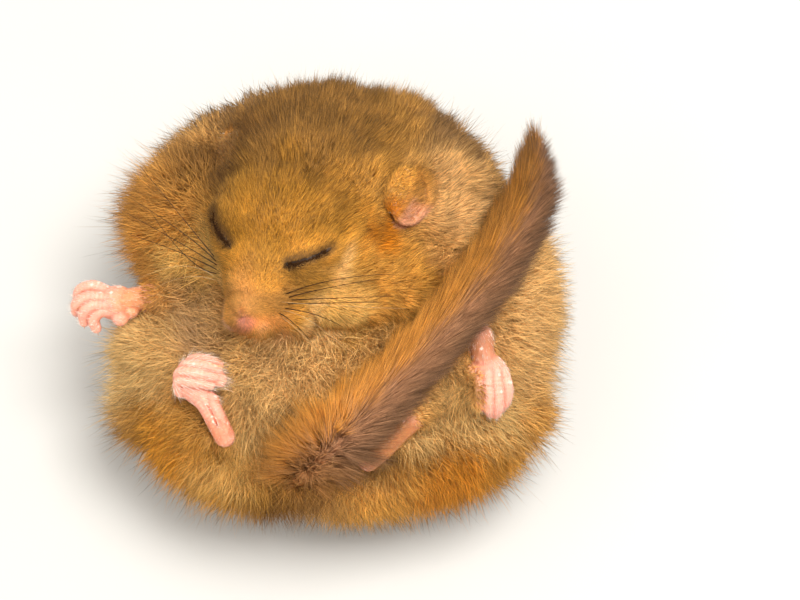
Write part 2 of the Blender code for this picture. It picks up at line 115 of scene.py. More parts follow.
# Colours of the coat and of the bare skin, as sRGB
GOLD = "DE9C38"
BUFF = "EFB970"
CROWN = "A67636"
ORANGE = "DA8208"
SHOULDER = "D69540"
PALE = "FCC47C"
RUFF = "C49A6C"
BLUSH = "D6984E"
PINK = "E49C84"
MAUVE = "AC7A54"
NOSE_SKIN = "9C5E48"
EAR_SKIN = "B87840"
TAIL_DARK = "9C7250"
TAIL_GOLD = "D48E38"
FAN = "AC7434"


# ---- Laying things out ----


def linear(hex_colour):
    """An sRGB hex colour as linear red, green and blue."""
    channels = [int(hex_colour[i : i + 2], 16) / 255 for i in (0, 2, 4)]
    return tuple(((c + 0.055) / 1.055) ** 2.4 if c > 0.04045 else c / 12.92 for c in channels)


def paint(hex_colour, fourth=1.0):
    """A linear colour with its fourth value: how solid it is, or how dark its underfur is."""
    return (*linear(hex_colour), fourth)


def toward(colours, weights, hex_colour, fourth=0.0):
    """The colours, each moved toward one colour by its own weight."""
    return colours + weights * (paint(hex_colour, fourth) - colours)


def head_frame(point):
    """A point of the head's frame, in the animal's frame."""
    return NOSE_TIP + HEAD_TURN @ Vector(point)


def egg(centre, radii, spin=0):
    """One egg of flesh: where a unit ball goes; spin is in degrees about Z."""
    turn = Matrix.Rotation(radians(spin), 4, "Z")
    return Matrix.Translation(centre) @ turn @ Matrix.Diagonal((*radii, 1.0))


def head_eggs(*eggs):
    """Eggs of the head, each one off the middle with its twin."""
    made = []
    for centre, radii in eggs:
        for side in (1, -1) if centre[0] else (1,):
            place = Matrix.Translation(head_frame((side * centre[0], centre[1], centre[2])))
            made.append(place @ HEAD_TURN.to_4x4() @ Matrix.Diagonal((*radii, 1.0)))
    return made


def smooth_line(points, steps):
    """Points of a Catmull-Rom curve through the given ones."""
    line = []
    last = len(points) - 1
    for i in range(last):
        before, start = points[max(i - 1, 0)], points[i]
        end, after = points[i + 1], points[min(i + 2, last)]
        for k in range(steps):
            t = k / steps
            bend = (2 * before - 5 * start + 4 * end - after) * t**2
            twist = (3 * start - before - 3 * end + after) * t**3
            line.append(0.5 * (2 * start + (end - before) * t + bend + twist))
    line.append(points[last])
    return line


def limb(points, radii, steps=6):
    """A rounded limb along a smooth line, as a close row of balls."""
    line = smooth_line([Vector(p) for p in points], steps)
    sizes = smooth_line([Vector((r, 0, 0)) for r in radii], steps)
    return [egg(centre, (size.x,) * 3) for centre, size in zip(line, sizes)]


def unit(vectors):
    """The vectors at length one."""
    return vectors / np.maximum(np.linalg.norm(vectors, axis=1, keepdims=True), 1e-9)


def ramp(values, low, high):
    """0 at low, 1 at high and a soft step between."""
    t = np.clip((values - low) / (high - low), 0.0, 1.0)
    return t * t * (3 - 2 * t)


def distance(points, spot):
    """How far each point is from one spot."""
    return np.linalg.norm(points - np.array(spot), axis=1)


def local(points, place):
    """The points in the frame of a place."""
    inverse = np.array(place.inverted())
    return points @ inverse[:3, :3].T + inverse[:3, 3]


def outside(points, eggs, most=5.0):
    """How far outside a group of eggs each point is, in about millimetres, up to a most."""
    sizes = np.array([max(place.to_scale()) for place in eggs])[:, None]
    centres = np.array([place.translation for place in eggs])
    low, high = (centres - sizes).min(axis=0) - most, (centres + sizes).max(axis=0) + most
    close = np.all((points > low) & (points < high), axis=1)
    near = points[close]
    nearest = np.full(len(near), most)
    for place in eggs:
        gap = (np.linalg.norm(local(near, place), axis=1) - 1) * min(place.to_scale())
        nearest = np.minimum(nearest, gap)
    result = np.full(len(points), most)
    result[close] = nearest
    return result


def waves(points, grain, seed):
    """A smooth random vector at each point, changing over that grain in millimetres."""
    dice = np.random.default_rng(seed)
    total = np.zeros_like(points)
    for _ in range(6):
        along = dice.normal(size=(3, 3))
        along /= np.linalg.norm(along, axis=0) * grain * dice.uniform(0.7, 1.5, 3) / (2 * pi)
        total += np.sin(points @ along + dice.uniform(0, 2 * pi, 3))
    return total / 1.73


# ---- The flesh, out to the tips of the coat ----

HEAD = head_eggs(
    ((0, 2.5, -0.6), (2.7, 2.3, 2.2)),
    ((0, 5.4, -0.2), (4.1, 4.4, 3.7)),
    ((2.6, 4.7, -1.1), (2.6, 3.1, 2.4)),
    ((0, 8.6, 1.7), (5.0, 6.0, 4.7)),
    ((4.4, 8.6, 3.0), (3.0, 3.8, 3.1)),
    ((5.0, 12.0, 1.4), (4.8, 6.2, 5.2)),
    ((0, 13.5, 1.2), (8.4, 8.2, 8.0)),
    ((0, 18.4, -0.4), (10.8, 8.6, 9.4)),
    ((5.6, 10.6, -2.4), (4.7, 6.6, 4.9)),
    ((7.2, 16.0, -3.0), (5.2, 6.8, 6.0)),
    ((0, 8.0, -3.9), (3.9, 6.0, 2.6)),
)
CHEEK_FILL = [
    egg((0.4, 0.2, 10.5), (6.6, 4.5, 4.0)),
    egg((5.8, 1.5, 9.1), (6.6, 5.2, 4.2)),
]
NOSE = head_eggs(((0, 1.0, -0.5), (0.45, 0.8, 0.6)))
NECK = [
    egg((2.0, 5.6, 4.3), (11.2, 9.4, 9.2)),
    egg((-1.0, 13.2, 1.8), (13.2, 11.8, 10.4)),
    egg((8.0, 10.5, 1.5), (11.0, 10.0, 10.0)),
    egg((-10.0, 9.0, 1.5), (8.0, 8.5, 8.5)),
    egg((4.5, 12.3, 0.0), (12.0, 12.0, 10.0)),
]
TORSO = [
    egg((-4.0, 7.8, -5.2), (20.4, 17.4, 15.3)),
    egg((4.4, 7.6, -4.0), (16.5, 16.3, 14.5)),
    egg((1.0, -2.0, -3.0), (22.0, 20.5, 14.4)),
    egg((14.8, -0.8, -2.5), (11.2, 15.5, 11.5)),
    egg((-14.0, -6.3, -1.2), (11.8, 8.2, 10.4)),
    egg((-4.0, -7.0, 3.2), (14.0, 10.5, 9.3)),
    egg((9.0, -7.5, 2.0), (11.0, 9.0, 8.6)),
    egg((2.2, -15.2, -1.2), (12.5, 10.3, 10.0)),
]
ARM_RIGHT = [egg((-15.6, 9.2, 0.4), (8.8, 8.5, 8.6))]
ARM_RIGHT += limb(((-14.0, 5.0, 3.0), (-18.5, 2.3, 4.2), (-20.6, 0.7, 4.4)), (4.2, 3.0, 1.7))
ARM_LEFT = limb(((10.0, 4.0, 6.5), (14.0, 0.5, 8.2), (15.6, -4.4, 8.9)), (3.6, 3.2, 1.9))
LEG_RIGHT = [egg((-12, -13.8, -1), (14, 9.4, 9.8), -33), egg((-20.5, -11, 0), (5.5, 6.4, 5.4))]
LEG_LEFT = [egg((11.5, -14.6, -2), (13.2, 9.1, 9.6), 22), egg((19.5, -11.8, -1), (5.5, 6.4, 5.4))]


def digits(lines, radius, thin):
    """Fingers or toes: each a limb along its line, thinner at its end."""
    made = []
    for line in lines:
        made += limb(line, (radius,) * (len(line) - 1) + (radius - thin,), 5)
    return made


PAW_RIGHT_FINGERS = (
    ((-24.6, 0.9, 4.2), (-26.4, 1.7, 4.3), (-27.9, 1.3, 3.7), (-28.4, 0.5, 3.0)),
    ((-24.8, 0.3, 4.8), (-26.9, 0.5, 5.0), (-28.2, -0.2, 4.5), (-28.4, -1.1, 3.8)),
    ((-24.6, -0.4, 4.9), (-26.4, -0.4, 5.2), (-27.4, -1.2, 4.8), (-27.5, -2.2, 4.1)),
    ((-24.4, -1.0, 4.7), (-25.7, -1.1, 5.0), (-26.4, -1.9, 4.7), (-26.2, -2.9, 4.0)),
)
PAW_LEFT_FINGERS = (
    ((15.6, -7.6, 9.9), (15.4, -9.3, 10.2), (15.5, -10.6, 9.8), (15.9, -11.2, 9.2)),
    ((16.4, -7.6, 10.2), (16.4, -9.6, 10.4), (16.5, -11.1, 9.9), (16.7, -11.9, 9.1)),
    ((17.2, -7.5, 10.1), (17.4, -9.6, 10.2), (17.4, -11.2, 9.7), (17.3, -12.0, 8.9)),
    ((17.9, -7.3, 9.7), (18.4, -9.0, 9.8), (18.3, -10.4, 9.3), (17.9, -11.3, 8.5)),
)
FOOT_RIGHT_TOES = (
    ((-16.4, -9.6, 10.4), (-16.4, -8.4, 11.2), (-14.8, -8.5, 11.9), (-13.1, -8.8, 11.6)),
    ((-16.6, -8.8, 10.2), (-16.3, -7.5, 11.2), (-14.4, -7.6, 12.0), (-12.6, -8.0, 11.6)),
    ((-16.4, -8.2, 9.9), (-15.8, -6.8, 10.9), (-14.0, -6.8, 11.6), (-12.3, -7.3, 11.3)),
    ((-16.0, -7.8, 9.6), (-15.2, -6.3, 10.4), (-13.6, -6.2, 10.9), (-12.2, -6.7, 10.7)),
    ((-14.2, -9.8, 10.6), (-12.9, -10.3, 11.0), (-12.6, -11.0, 10.7)),
)
FOOT_LEFT_TOES = (
    ((8.4, -12.6, 9.8), (9.8, -11.6, 10.1), (10.7, -11.1, 9.3)),
    ((8.6, -12.0, 9.9), (9.9, -10.8, 10.3), (11.0, -10.2, 9.5)),
    ((8.3, -11.4, 9.9), (9.4, -10.2, 10.3), (10.6, -9.5, 9.5)),
)
PAW_RIGHT = (
    limb(((-19.5, 0.7, 4.3), (-22.0, 0.3, 4.4), (-23.2, 0.1, 4.4)), (1.5, 1.35, 1.3))
    + [egg((-24.0, -0.1, 4.3), (2.2, 1.9, 1.4), 12)]
    + digits(PAW_RIGHT_FINGERS, FINGER, 0.12)
    + [egg((-23.5, -1.7, 4.6), (1.0,) * 3), egg((-22.4, -0.9, 4.5), (1.0,) * 3)]
)
PAW_LEFT = (
    limb(((15.5, -3.8, 8.9), (15.9, -5.7, 9.4), (16.2, -6.5, 9.5)), (1.5, 1.3, 1.2))
    + [egg((16.5, -7.1, 9.6), (1.8, 1.6, 1.15))]
    + digits(PAW_LEFT_FINGERS, FINGER, 0.14)
    + [egg((14.6, -7.6, 9.4), (0.9,) * 3), egg((15.3, -7.0, 9.4), (0.9,) * 3)]
)
FOOT_RIGHT = (
    limb(
        ((-11.7, -14.4, 9.9), (-12.4, -12.9, 10.3), (-13.6, -10.6, 10.4), (-15.0, -8.9, 10.1)),
        (1.15, 1.2, 1.3, 1.7),
    )
    + limb(((-13.2, -10.2, 10.9), (-12.5, -11.3, 11.2), (-11.9, -12.7, 10.9)), (0.6, 0.65, 0.5))
    + digits(FOOT_RIGHT_TOES, TOE, 0.12)
    + [egg((-12.1, -8.3, 11.1), (0.85,) * 3)]
)
SOLE_GROOVE = limb(
    ((-14.2, -9.9, 12.0), (-13.3, -11.2, 11.7), (-12.6, -12.6, 11.5), (-12.2, -13.6, 11.1)),
    (0.1, 0.2, 0.18, 0.1),
)
FOOT_LEFT = (
    limb(
        ((3.6, -17.0, 9.3), (5.0, -15.7, 10.0), (6.8, -13.8, 10.1), (8.6, -12.0, 9.8)),
        (1.2, 1.3, 1.35, 1.5),
    )
    + digits(FOOT_LEFT_TOES, TOE, 0.12)
)
ANKLES = limb(((-11.8, -14.4, 8.7), (-14.5, -12.6, 5.5)), (1.2, 2.2))
ANKLES += limb(((4.2, -16.6, 8.4), (7.5, -14.6, 5.0)), (1.1, 2.2))
TAIL = smooth_line([Vector(p) for p in TAIL_LINE], 8)
TAIL_SIZES = [r.x for r in smooth_line([Vector((r, 0, 0)) for r in TAIL_RADII], 8)]
TAIL_BONES = [egg(c, (r * TAIL_CORE,) * 3) for c, r in zip(TAIL, TAIL_SIZES)]

EAR_RADII = Vector((3.1, 2.6, 1.1))


def ear_frame(side, seat):
    """Where an ear's shell goes: along it, across it and out of its cup."""
    along = HEAD_TURN @ Vector((side * 0.12, 0.86, 0.5))
    out = HEAD_TURN @ Vector((side * 0.86, -0.16, 0.48))
    across = out.cross(along).normalized()
    out = along.cross(across).normalized()
    turn = Matrix((along, across, out)).transposed().to_4x4()
    return Matrix.Translation(head_frame(seat)) @ turn


EAR_FRAMES = (ear_frame(1, EAR_LEFT), ear_frame(-1, EAR_RIGHT))
EARS = [
    place @ egg((-0.3, side * -0.7, 0.1), EAR_RADII) for place, side in zip(EAR_FRAMES, (1, -1))
]

MUZZLE = head_eggs(
    ((0, 2.8, -0.5), (2.4, 2.2, 2.1)),
    ((1.1, 2.6, -0.9), (1.7, 1.9, 1.7)),
    ((0, 5.0, 0.3), (3.4, 3.0, 2.9)),
)
MUZZLE += limb(
    ((-10.2, -1.5, 12.6), (-8.6, -1.9, 13.0), (-7.0, -2.1, 12.9), (-4.2, -1.7, 12.0)),
    (1.3, 1.5, 1.6, 1.7),
)
BODY_PARTS = {
    "head": HEAD + CHEEK_FILL,
    "nose": NOSE,
    "ears": EARS,
    "neck": NECK,
    "torso": TORSO,
    "arm_right": ARM_RIGHT,
    "arm_left": ARM_LEFT,
    "leg_right": LEG_RIGHT,
    "leg_left": LEG_LEFT,
}
FURRED_PARTS = ("head", "neck", "torso", "arm_right", "arm_left", "leg_right", "leg_left")
BARE_LIMBS = (PAW_RIGHT, PAW_LEFT, FOOT_RIGHT, FOOT_LEFT)


def shares(points, names, blend=0.7):
    """How much each point belongs to each of the named parts of the body, adding up to one."""
    near = np.stack([outside(points, BODY_PARTS[name]) for name in names])
    weight = np.exp(-(near - near.min(axis=0)) / blend)
    return dict(zip(names, weight / weight.sum(axis=0)))


def from_limbs(points):
    """How far each point is from the nearest paw or foot."""
    return np.min([outside(points, eggs) for eggs in BARE_LIMBS], axis=0)


def eye_ends(side):
    """The inner and the outer end of one closed eye."""
    return [head_frame((side * end.x, end.y, end.z)) for end in (EYE_INNER, EYE_OUTER)]


def eye_frame(side):
    """The frame of one closed eye: along the slit, across it and out of the head."""
    inner, outer = eye_ends(side)
    along = (outer - inner).normalized()
    out = HEAD_TURN @ Vector((side * 0.62, -0.42, 0.66))
    across = out.cross(along).normalized()
    out = along.cross(across).normalized()
    turn = Matrix((along, across, out)).transposed()
    return Matrix.Translation((inner + outer) / 2) @ turn.to_4x4(), (outer - inner).length


def slit_distance(points):
    """How far each point is beside the nearer eye's slit, seen from in front of that eye."""
    nearest = np.full(len(points), 5.0)
    for side in (1, -1):
        place, length = eye_frame(side)
        at_eye = local(points, place)
        beyond = np.maximum(np.abs(at_eye[:, 0] - 0.05 * length) - 0.52 * length, 0)
        gap = np.hypot(beyond, at_eye[:, 1])
        nearest = np.where(np.abs(at_eye[:, 2]) < 3.0, np.minimum(nearest, gap), nearest)
    return nearest


def coat_depth(points):
    """How deep the coat is over each point of the skin: short on the face and by the paws."""
    part = shares(points, FURRED_PARTS)
    face = COAT_AT_NOSE + COAT_GAIN * (distance(points, NOSE_TIP) - 2.0)
    face = np.clip(face, COAT_AT_NOSE, COAT)
    depth = part["head"] * face + (1 - part["head"]) * COAT
    depth = np.minimum(depth, 0.35 + 0.35 * slit_distance(points))
    depth = np.minimum(depth, 0.55 + 0.9 * np.maximum(outside(points, EARS) - 0.3, 0))
    return np.minimum(depth, 0.8 + 0.5 * np.maximum(from_limbs(points), 0))


# ---- Mesh work ----


def shown(name, data):
    """A new object in the scene, of a mesh, a lamp or a camera."""
    obj = bpy.data.objects.new(name, data)
    bpy.context.scene.collection.objects.link(obj)
    return obj


def put(name, form):
    """A new object of the form's mesh."""
    mesh = bpy.data.meshes.new(name)
    form.to_mesh(mesh)
    form.free()
    return shown(name, mesh)


def applied(obj):
    """Applies the object's modifiers to its mesh."""
    graph = bpy.context.evaluated_depsgraph_get()
    graph.update()
    made = bpy.data.meshes.new_from_object(obj.evaluated_get(graph))
    obj.modifiers.clear()
    obj.data = made
    return obj


def fused(obj, voxel, rounds):
    """Fuses what overlaps in the object into one skin and softens it."""
    fuse = obj.modifiers.new("fuse", "REMESH")
    fuse.mode = "VOXEL"
    fuse.voxel_size = voxel
    if rounds:
        soften = obj.modifiers.new("soften", "SMOOTH")
        soften.factor = 0.5
        soften.iterations = rounds
    return applied(obj)


def sculpt(name, eggs, voxel, rounds):
    """One soft skin over a heap of eggs."""
    form = bmesh.new()
    for place in eggs:
        detail = 3 if max(place.to_scale()) > 12 * voxel else 2
        bmesh.ops.create_icosphere(form, subdivisions=detail, radius=1.0, matrix=place)
    return fused(put(name, form), voxel, rounds)


def points_of(obj):
    """The places of the object's vertices, and its normals there."""
    count = len(obj.data.vertices)
    points = np.empty(count * 3)
    normals = np.empty(count * 3)
    obj.data.vertices.foreach_get("co", points)
    obj.data.vertex_normals.foreach_get("vector", normals)
    return points.reshape(-1, 3), normals.reshape(-1, 3)


def move_points(obj, points):
    """Puts the object's vertices at new places."""
    obj.data.vertices.foreach_set("co", points.ravel())
    obj.data.update()


def combine(obj, others, solver, operation="UNION"):
    """Joins the others to the object, or cuts them out of it, and drops them."""
    group = bpy.data.collections.new("others")
    for other in others:
        group.objects.link(other)
    step = obj.modifiers.new("combine", "BOOLEAN")
    step.operation = operation
    step.operand_type = "COLLECTION"
    step.collection = group
    step.solver = solver
    applied(obj)
    for other in others:
        bpy.data.objects.remove(other, do_unlink=True)
    bpy.data.collections.remove(group)
    return obj


def lay(obj, material, *nodes):
    """Lays a finished piece in place, with its finish and the solids that it stands for."""
    obj.data.transform(LYING)
    obj.data.materials.clear()
    obj.data.materials.append(material)
    obj.data.shade_smooth()
    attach(obj, "root")
    if nodes:
        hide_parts(*nodes)
    return obj


# ---- The skin ----


EAR_RIM = (
    (2.4, 0.2, 0.0),
    (2.2, -0.6, 0.3),
    (0.9, -2.2, 0.45),
    (-1.1, -2.9, 0.5),
    (-2.4, -2.4, 0.45),
    (-2.9, -1.2, 0.35),
    (-2.7, -0.3, 0.1),
)


def ear(name, place, side):
    """One folded ear: a thin flap with a raised rim, a shallow cup and an opening at its foot."""
    flap = [
        ((-0.3, -0.7, 0.0), (2.7, 2.2, 0.8)),
        ((1.2, -0.1, -0.1), (1.5, 1.5, 0.75)),
        ((0.0, 0.8, -0.5), (2.4, 1.2, 0.8)),
    ]
    eggs = [place @ egg((x, side * y, z), radii) for (x, y, z), radii in flap]
    rim = [place @ Vector((x, side * y, z)) for x, y, z in EAR_RIM]
    eggs += limb(rim, (0.2, 0.32, 0.36, 0.36, 0.34, 0.3, 0.2), 5)
    shell = sculpt(name, eggs, FINE_VOXEL, 2)
    hollows = [
        ((-1.2, -1.5, 1.1), (1.4, 1.1, 0.72)),
        ((-2.1, -0.1, 0.8), (0.5, 0.4, 0.9)),
    ]
    cup = [place @ egg((x, side * y, z), radii) for (x, y, z), radii in hollows]
    return combine(shell, [sculpt("hollow", cup, FINE_VOXEL, 1)], "MANIFOLD", "DIFFERENCE")


def foot_right():
    """The right hind foot, with the deep groove along its sole."""
    foot = sculpt("foot_right", FOOT_RIGHT, FINE_VOXEL, 2)
    return combine(foot, [sculpt("groove", SOLE_GROOVE, 0.1, 1)], "MANIFOLD", "DIFFERENCE")


def nose_pad():
    """The bare tip of the nose: two low lobes with a nostril each and the groove below them."""
    pad = sculpt(
        "nose_pad",
        head_eggs(
            ((0, 1.85, 0.0), (0.85, 1.2, 0.85)),
            ((0.6, 1.75, -0.2), (0.65, 1.0, 0.65)),
            ((0.5, 1.8, -1.0), (0.6, 1.1, 0.6)),
        ),
        0.09,
        2,
    )
    holes = head_eggs(((0.7, 0.75, -0.2), (0.2, 0.4, 0.13)), ((0.95, 0.9, -0.05), (0.2, 0.4, 0.1)))
    groove = head_eggs(((0, 0.6, -0.7), (0.07, 0.35, 0.9)))
    cutter = sculpt("holes", holes + groove, 0.06, 1)
    return combine(pad, [cutter], "MANIFOLD", "DIFFERENCE")


def swelled(eggs, gap):
    """The eggs grown by a gap on every side."""
    grown = []
    for place in eggs:
        growth = [1 + gap / radius for radius in place.to_scale()]
        grown.append(place @ Matrix.Diagonal((*growth, 1.0)))
    return grown


def flesh(name, eggs, gap):
    """Skin under the coat of a group of eggs, with the dips between them filled in."""
    body = sculpt(name, swelled(eggs, gap), FLESH_VOXEL, 10)
    points, normals = points_of(body)
    move_points(body, points - normals * (coat_depth(points) + gap)[:, None])
    return body


def skin():
    """One skin from the nose to the tip of the tail, as deep under the solids as the coat."""
    body = flesh("skin", HEAD + NECK + CHEEK_FILL, HEAD_FILL)
    trunk = flesh("trunk", TORSO + ARM_RIGHT + ARM_LEFT + LEG_RIGHT + LEG_LEFT, BODY_FILL)
    tail = sculpt("tail", TAIL_BONES, 0.3, 2)
    mixed = bmesh.new()
    for other in (body, trunk, tail):
        mixed.from_mesh(other.data)
    mixed.to_mesh(body.data)
    mixed.free()
    bpy.data.objects.remove(tail, do_unlink=True)
    bpy.data.objects.remove(trunk, do_unlink=True)
    fused(body, FLESH_VOXEL, 2)
    fine = [
        sculpt("muzzle", MUZZLE, FINE_VOXEL, 3),
        sculpt("paw_right", PAW_RIGHT, FINE_VOXEL, 2),
        sculpt("paw_left", PAW_LEFT, FINE_VOXEL, 2),
        sculpt("ankles", ANKLES, 0.25, 2),
        foot_right(),
        sculpt("foot_left", FOOT_LEFT, FINE_VOXEL, 2),
        ear("ear_left", EAR_FRAMES[0], 1),
        ear("ear_right", EAR_FRAMES[1], -1),
        nose_pad(),
    ]
    return evened(combine(body, fine, "MANIFOLD"))


def evened(body):
    """Smooths away the crease where the muzzle runs into the rest of the face."""
    points, _ = points_of(body)
    near = (np.abs(outside(points, MUZZLE)) < 0.9) & (outside(points, NOSE) > 0.5)
    form = bmesh.new()
    form.from_mesh(body.data)
    form.verts.ensure_lookup_table()
    chosen = [form.verts[k] for k in np.nonzero(near)[0]]
    for _ in range(22):
        bmesh.ops.smooth_vert(
            form, verts=chosen, factor=0.5, use_axis_x=True, use_axis_y=True, use_axis_z=True
        )
    form.to_mesh(body.data)
    form.free()
    return body


# ---- Markings and painted shade, shared by the skin and the coat ----

# Each patch of colour, a few of them painted shade and one painted light: where it is, how wide,
# how strong, its colour and how dark its underfur
PATCHES = (
    # The crown and the forehead
    ((-3.8, 20.6, 8), 17, 1.0, CROWN, 0.6),
    ((-6.6, 8.6, 14), 8, 0.8, "BC8224", 0.3),
    # The bridge of the nose and its sides
    ((-4.0, 1.5, 13.5), 6.5, 0.8, "C68E38", 0.15),
    ((-8.6, -0.6, 14.6), 5.0, 0.9, BLUSH, 0.0),
    # The lower cheek: cream coat, painted lighter as well, as painted light against the shade under
    # the cheek
    ((0.1, -1.1, 12), 5.5, 0.9, "FAC66C", 0.1),
    ((5.6, -1.0, 11), 4.0, 0.7, "E8A448", 0.1),
    # Under the left ear and on the left shoulder
    ((5.4, 7.4, 11), 4.2, 0.9, ORANGE, 0.2),
    ((12.9, 11.0, 7), 9.5, 0.9, PALE, 0.15),
    # The right shoulder and the chest
    ((-19.2, 6.8, 4), 9, 0.8, SHOULDER, 0.2),
    ((-14.6, -1.4, 7), 7, 0.9, RUFF, 0.5),
    # The belly, from the chest to the root of the tail
    ((-5.8, -9.5, 10), 8.5, 0.95, "FFCC80", 0.3),
    ((-6.0, -5.1, 11), 4.2, 0.6, "E2B276", 0.7),
    # Painted shadow in the cleft where the tail lies on the belly
    ((-4.8, -13.9, 9), 4.0, 0.8, "80541C", 0.5),
    # The right haunch, knee and flank
    ((-19.2, -16.2, 4), 8.0, 0.8, "F8A830", 0.3),
    ((-12.0, -17.8, 5), 5.5, 0.95, "FFC870", 0.15),
    ((-8.8, -13.9, 8), 4.5, 0.9, "FFD084", 0.15),
    ((-23.0, -8.0, 2), 8.0, 0.95, "FFD690", 0.15),
    ((-19.6, -7.4, 5), 5.5, 0.9, "FFD084", 0.1),
    ((-22.0, -13.8, 2), 5.0, 0.7, "A87428", 0.4),
    # The left haunch and flank
    ((12.0, -19.0, 4), 8.0, 0.8, "EC9828", 0.25),
    ((22.4, -2.0, 2), 15, 1.0, "FFCA80", 0.3),
    ((10.5, -11.8, 6), 6.0, 1.0, "FFD084", 0.1),
    ((16.0, -11.6, 5), 6.5, 1.0, "FFD084", 0.1),
    # The cheeks, the chin and the brows
    ((-14.8, 3.6, 8), 6.0, 1.0, "FFCC70", 0.0),
    ((-11.2, 10.3, 11), 4.0, 0.6, "D89C40", 0.2),
    ((-1.0, 2.7, 13.5), 3.0, 0.7, "FFCA7C", 0.0),
    ((-2.3, -2.3, 12), 3.2, 0.8, "FFD08C", 0.0),
    ((-2.0, 11.8, 12), 6.0, 0.5, "9C6C28", 0.3),
    # The nape, the folds of the chest and round the root of the tail, where some patches are
    # painted shade
    # Painted shade along the nape's far edge
    ((13.0, 18.4, 3), 7.5, 0.8, "7C5834", 0.4),
    ((1.2, -19.4, 5), 2.8, 0.8, "F8C074", 0.2),
    # Painted shade in the fold between the right arm and the chest
    ((-15.6, -1.2, 7), 2.8, 0.6, "8C6C50", 0.6),
    # Painted shadow under the muzzle, on the belly
    ((-8.7, -4.8, 11), 1.8, 0.6, "7C5C48", 0.6),
    ((3.8, -20.8, 4), 7.0, 0.9, "FFB850", 0.2),
    ((-2.7, -19.2, 7), 5.5, 0.8, FAN, 0.25),
    # Painted shade along the lower edge by the root of the tail
    ((-6.0, -21.8, 3), 5.0, 0.9, "784808", 0.3),
    ((-13.0, 18.0, 6), 9.0, 0.9, "8C5E28", 0.6),
)

# Patches of the muzzle, which stay off the belly that it lies on
MUZZLE_PATCHES = (
    ((-8.0, -0.4, 15.4), 2.4, 0.7, "DC9858", 0.0),
    ((-6.6, -2.4, 14.2), 2.4, 0.8, "E4964C", 0.0),
    ((-10.6, -2.0, 13.2), 2.4, 0.95, "F6D0B8", 0.0),
    ((-8.4, -1.6, 14.8), 1.9, 0.8, "E08C76", 0.0),
    ((-8.0, -3.6, 13.2), 1.6, 0.9, "EEB898", 0.0),
    ((-5.4, -3.4, 12.6), 2.0, 0.9, "F0BC88", 0.0),
)

# The coat's colour on each part of the body, and how dark its underfur is
BASE_COLOURS = {
    "head": (GOLD, 0.3),
    "neck": (GOLD, 0.4),
    "torso": (BUFF, 0.35),
    "arm_right": (SHOULDER, 0.25),
    "arm_left": (ORANGE, 0.3),
    "leg_right": (GOLD, 0.5),
    "leg_left": (GOLD, 0.5),
}

# Folds of the coat where shade gathers, painted darker as painted shade: by the root of the tail
# and between the flank and the haunch
SHADED_FOLDS = (
    ((-7.4, -14.8), (-5.6, -13.7), (-3.8, -13.4)),
    ((3.4, -18.0), (5.9, -16.5), (8.1, -16.3), (11.7, -15.7), (14.8, -15.5)),
)


def from_shaded_folds(points):
    """How far each point of the upper side is from the nearest shaded fold, seen from above."""
    nearest = np.full(len(points), 5.0)
    for fold in SHADED_FOLDS:
        for spot in smooth_line([Vector(p) for p in fold], 8):
            gap = np.hypot(points[:, 0] - spot.x, points[:, 1] - spot.y)
            nearest = np.minimum(nearest, gap)
    return np.where(points[:, 2] > 0, nearest, 5.0)


def markings_and_shade(points):
    """The coat's colour at each point, painted shade and painted light included, and in the fourth
    column how dark its underfur is.
    """
    part = shares(points, FURRED_PARTS, 1.5)
    colour = np.zeros((len(points), 4))
    for name, share in part.items():
        colour += share[:, None] * paint(*BASE_COLOURS[name])
    back = ramp(-points[:, 2], -2.0, 8.0)[:, None]
    colour = toward(colour, back * 0.6, "C08A44", 0.5)
    uneven = points + 0.9 * waves(points, 5.0, 3)
    for patches, share in ((PATCHES, 1.0), (MUZZLE_PATCHES, part["head"])):
        for centre, reach, strength, shade, under in patches:
            near = 1 - ramp(distance(uneven, centre), 0.25 * reach, reach)
            colour = toward(colour, (strength * near * share)[:, None], shade, under)
    # Painted shade in the folds, and a darker underside: painted shade where the body lies toward
    # the floor, and the back's darker coat as well
    folds = 1 - ramp(from_shaded_folds(points), 0.2, 0.9)
    colour[:, :3] *= ((1 - 0.5 * folds) * (1 - 0.25 * ramp(-points[:, 2], -1.0, 6.0)))[:, None]
    mottle = waves(points, 3.2, 51)
    colour[:, :3] *= np.exp(0.1 * mottle[:, :1] + np.array((0.0, 0.0, 0.02)) * mottle[:, 1:2])
    lids = (1 - ramp(slit_distance(points), 0.2, 0.9))[:, None]
    colour[:, :3] += 0.75 * lids * (np.array(linear("4A2E18")) - colour[:, :3])
    colour[:, :3] *= np.minimum(1, 0.95 / colour[:, :3].max(axis=1))[:, None]
    return colour


def tail_place(points):
    """Each point's share of the way along the tail, its angle round it, and two of its axes."""
    line = np.array(TAIL)
    along = unit(np.gradient(line, axis=0))
    out = unit(line - along * np.sum(line * along, axis=1, keepdims=True))
    side = np.cross(along, out)
    gap = np.linalg.norm(points[:, None, :] - line[None, :, :], axis=2)
    nearest = gap.argmin(axis=1)
    offset = points - line[nearest]
    angle = np.arctan2(
        np.sum(offset * side[nearest], axis=1), np.sum(offset * out[nearest], axis=1)
    )
    return nearest / (len(line) - 1), angle, along[nearest], side[nearest]


def tail_markings(share, angle):
    """The tail's colour: gold on its right edge, mauve along the top and dark on its left."""
    right = ramp(-angle, 0.35, 1.1)[:, None]
    left = ramp(angle, 0.1, 0.8)[:, None]
    colour = np.tile(paint(MAUVE, 0.1), (len(share), 1))
    colour = toward(colour, right, TAIL_GOLD, 0.3)
    colour = toward(colour, left, TAIL_DARK, 0.4)
    fan = (1 - ramp(share, 0.1, 0.24))[:, None]
    return toward(colour, fan * 0.8, FAN)


def give(mesh, name, kind, values):
    """Stores one value a vertex under a name."""
    made = mesh.attributes.new(name, kind, "POINT")
    made.data.foreach_set({"FLOAT_COLOR": "color", "FLOAT_VECTOR": "vector"}[kind], values.ravel())


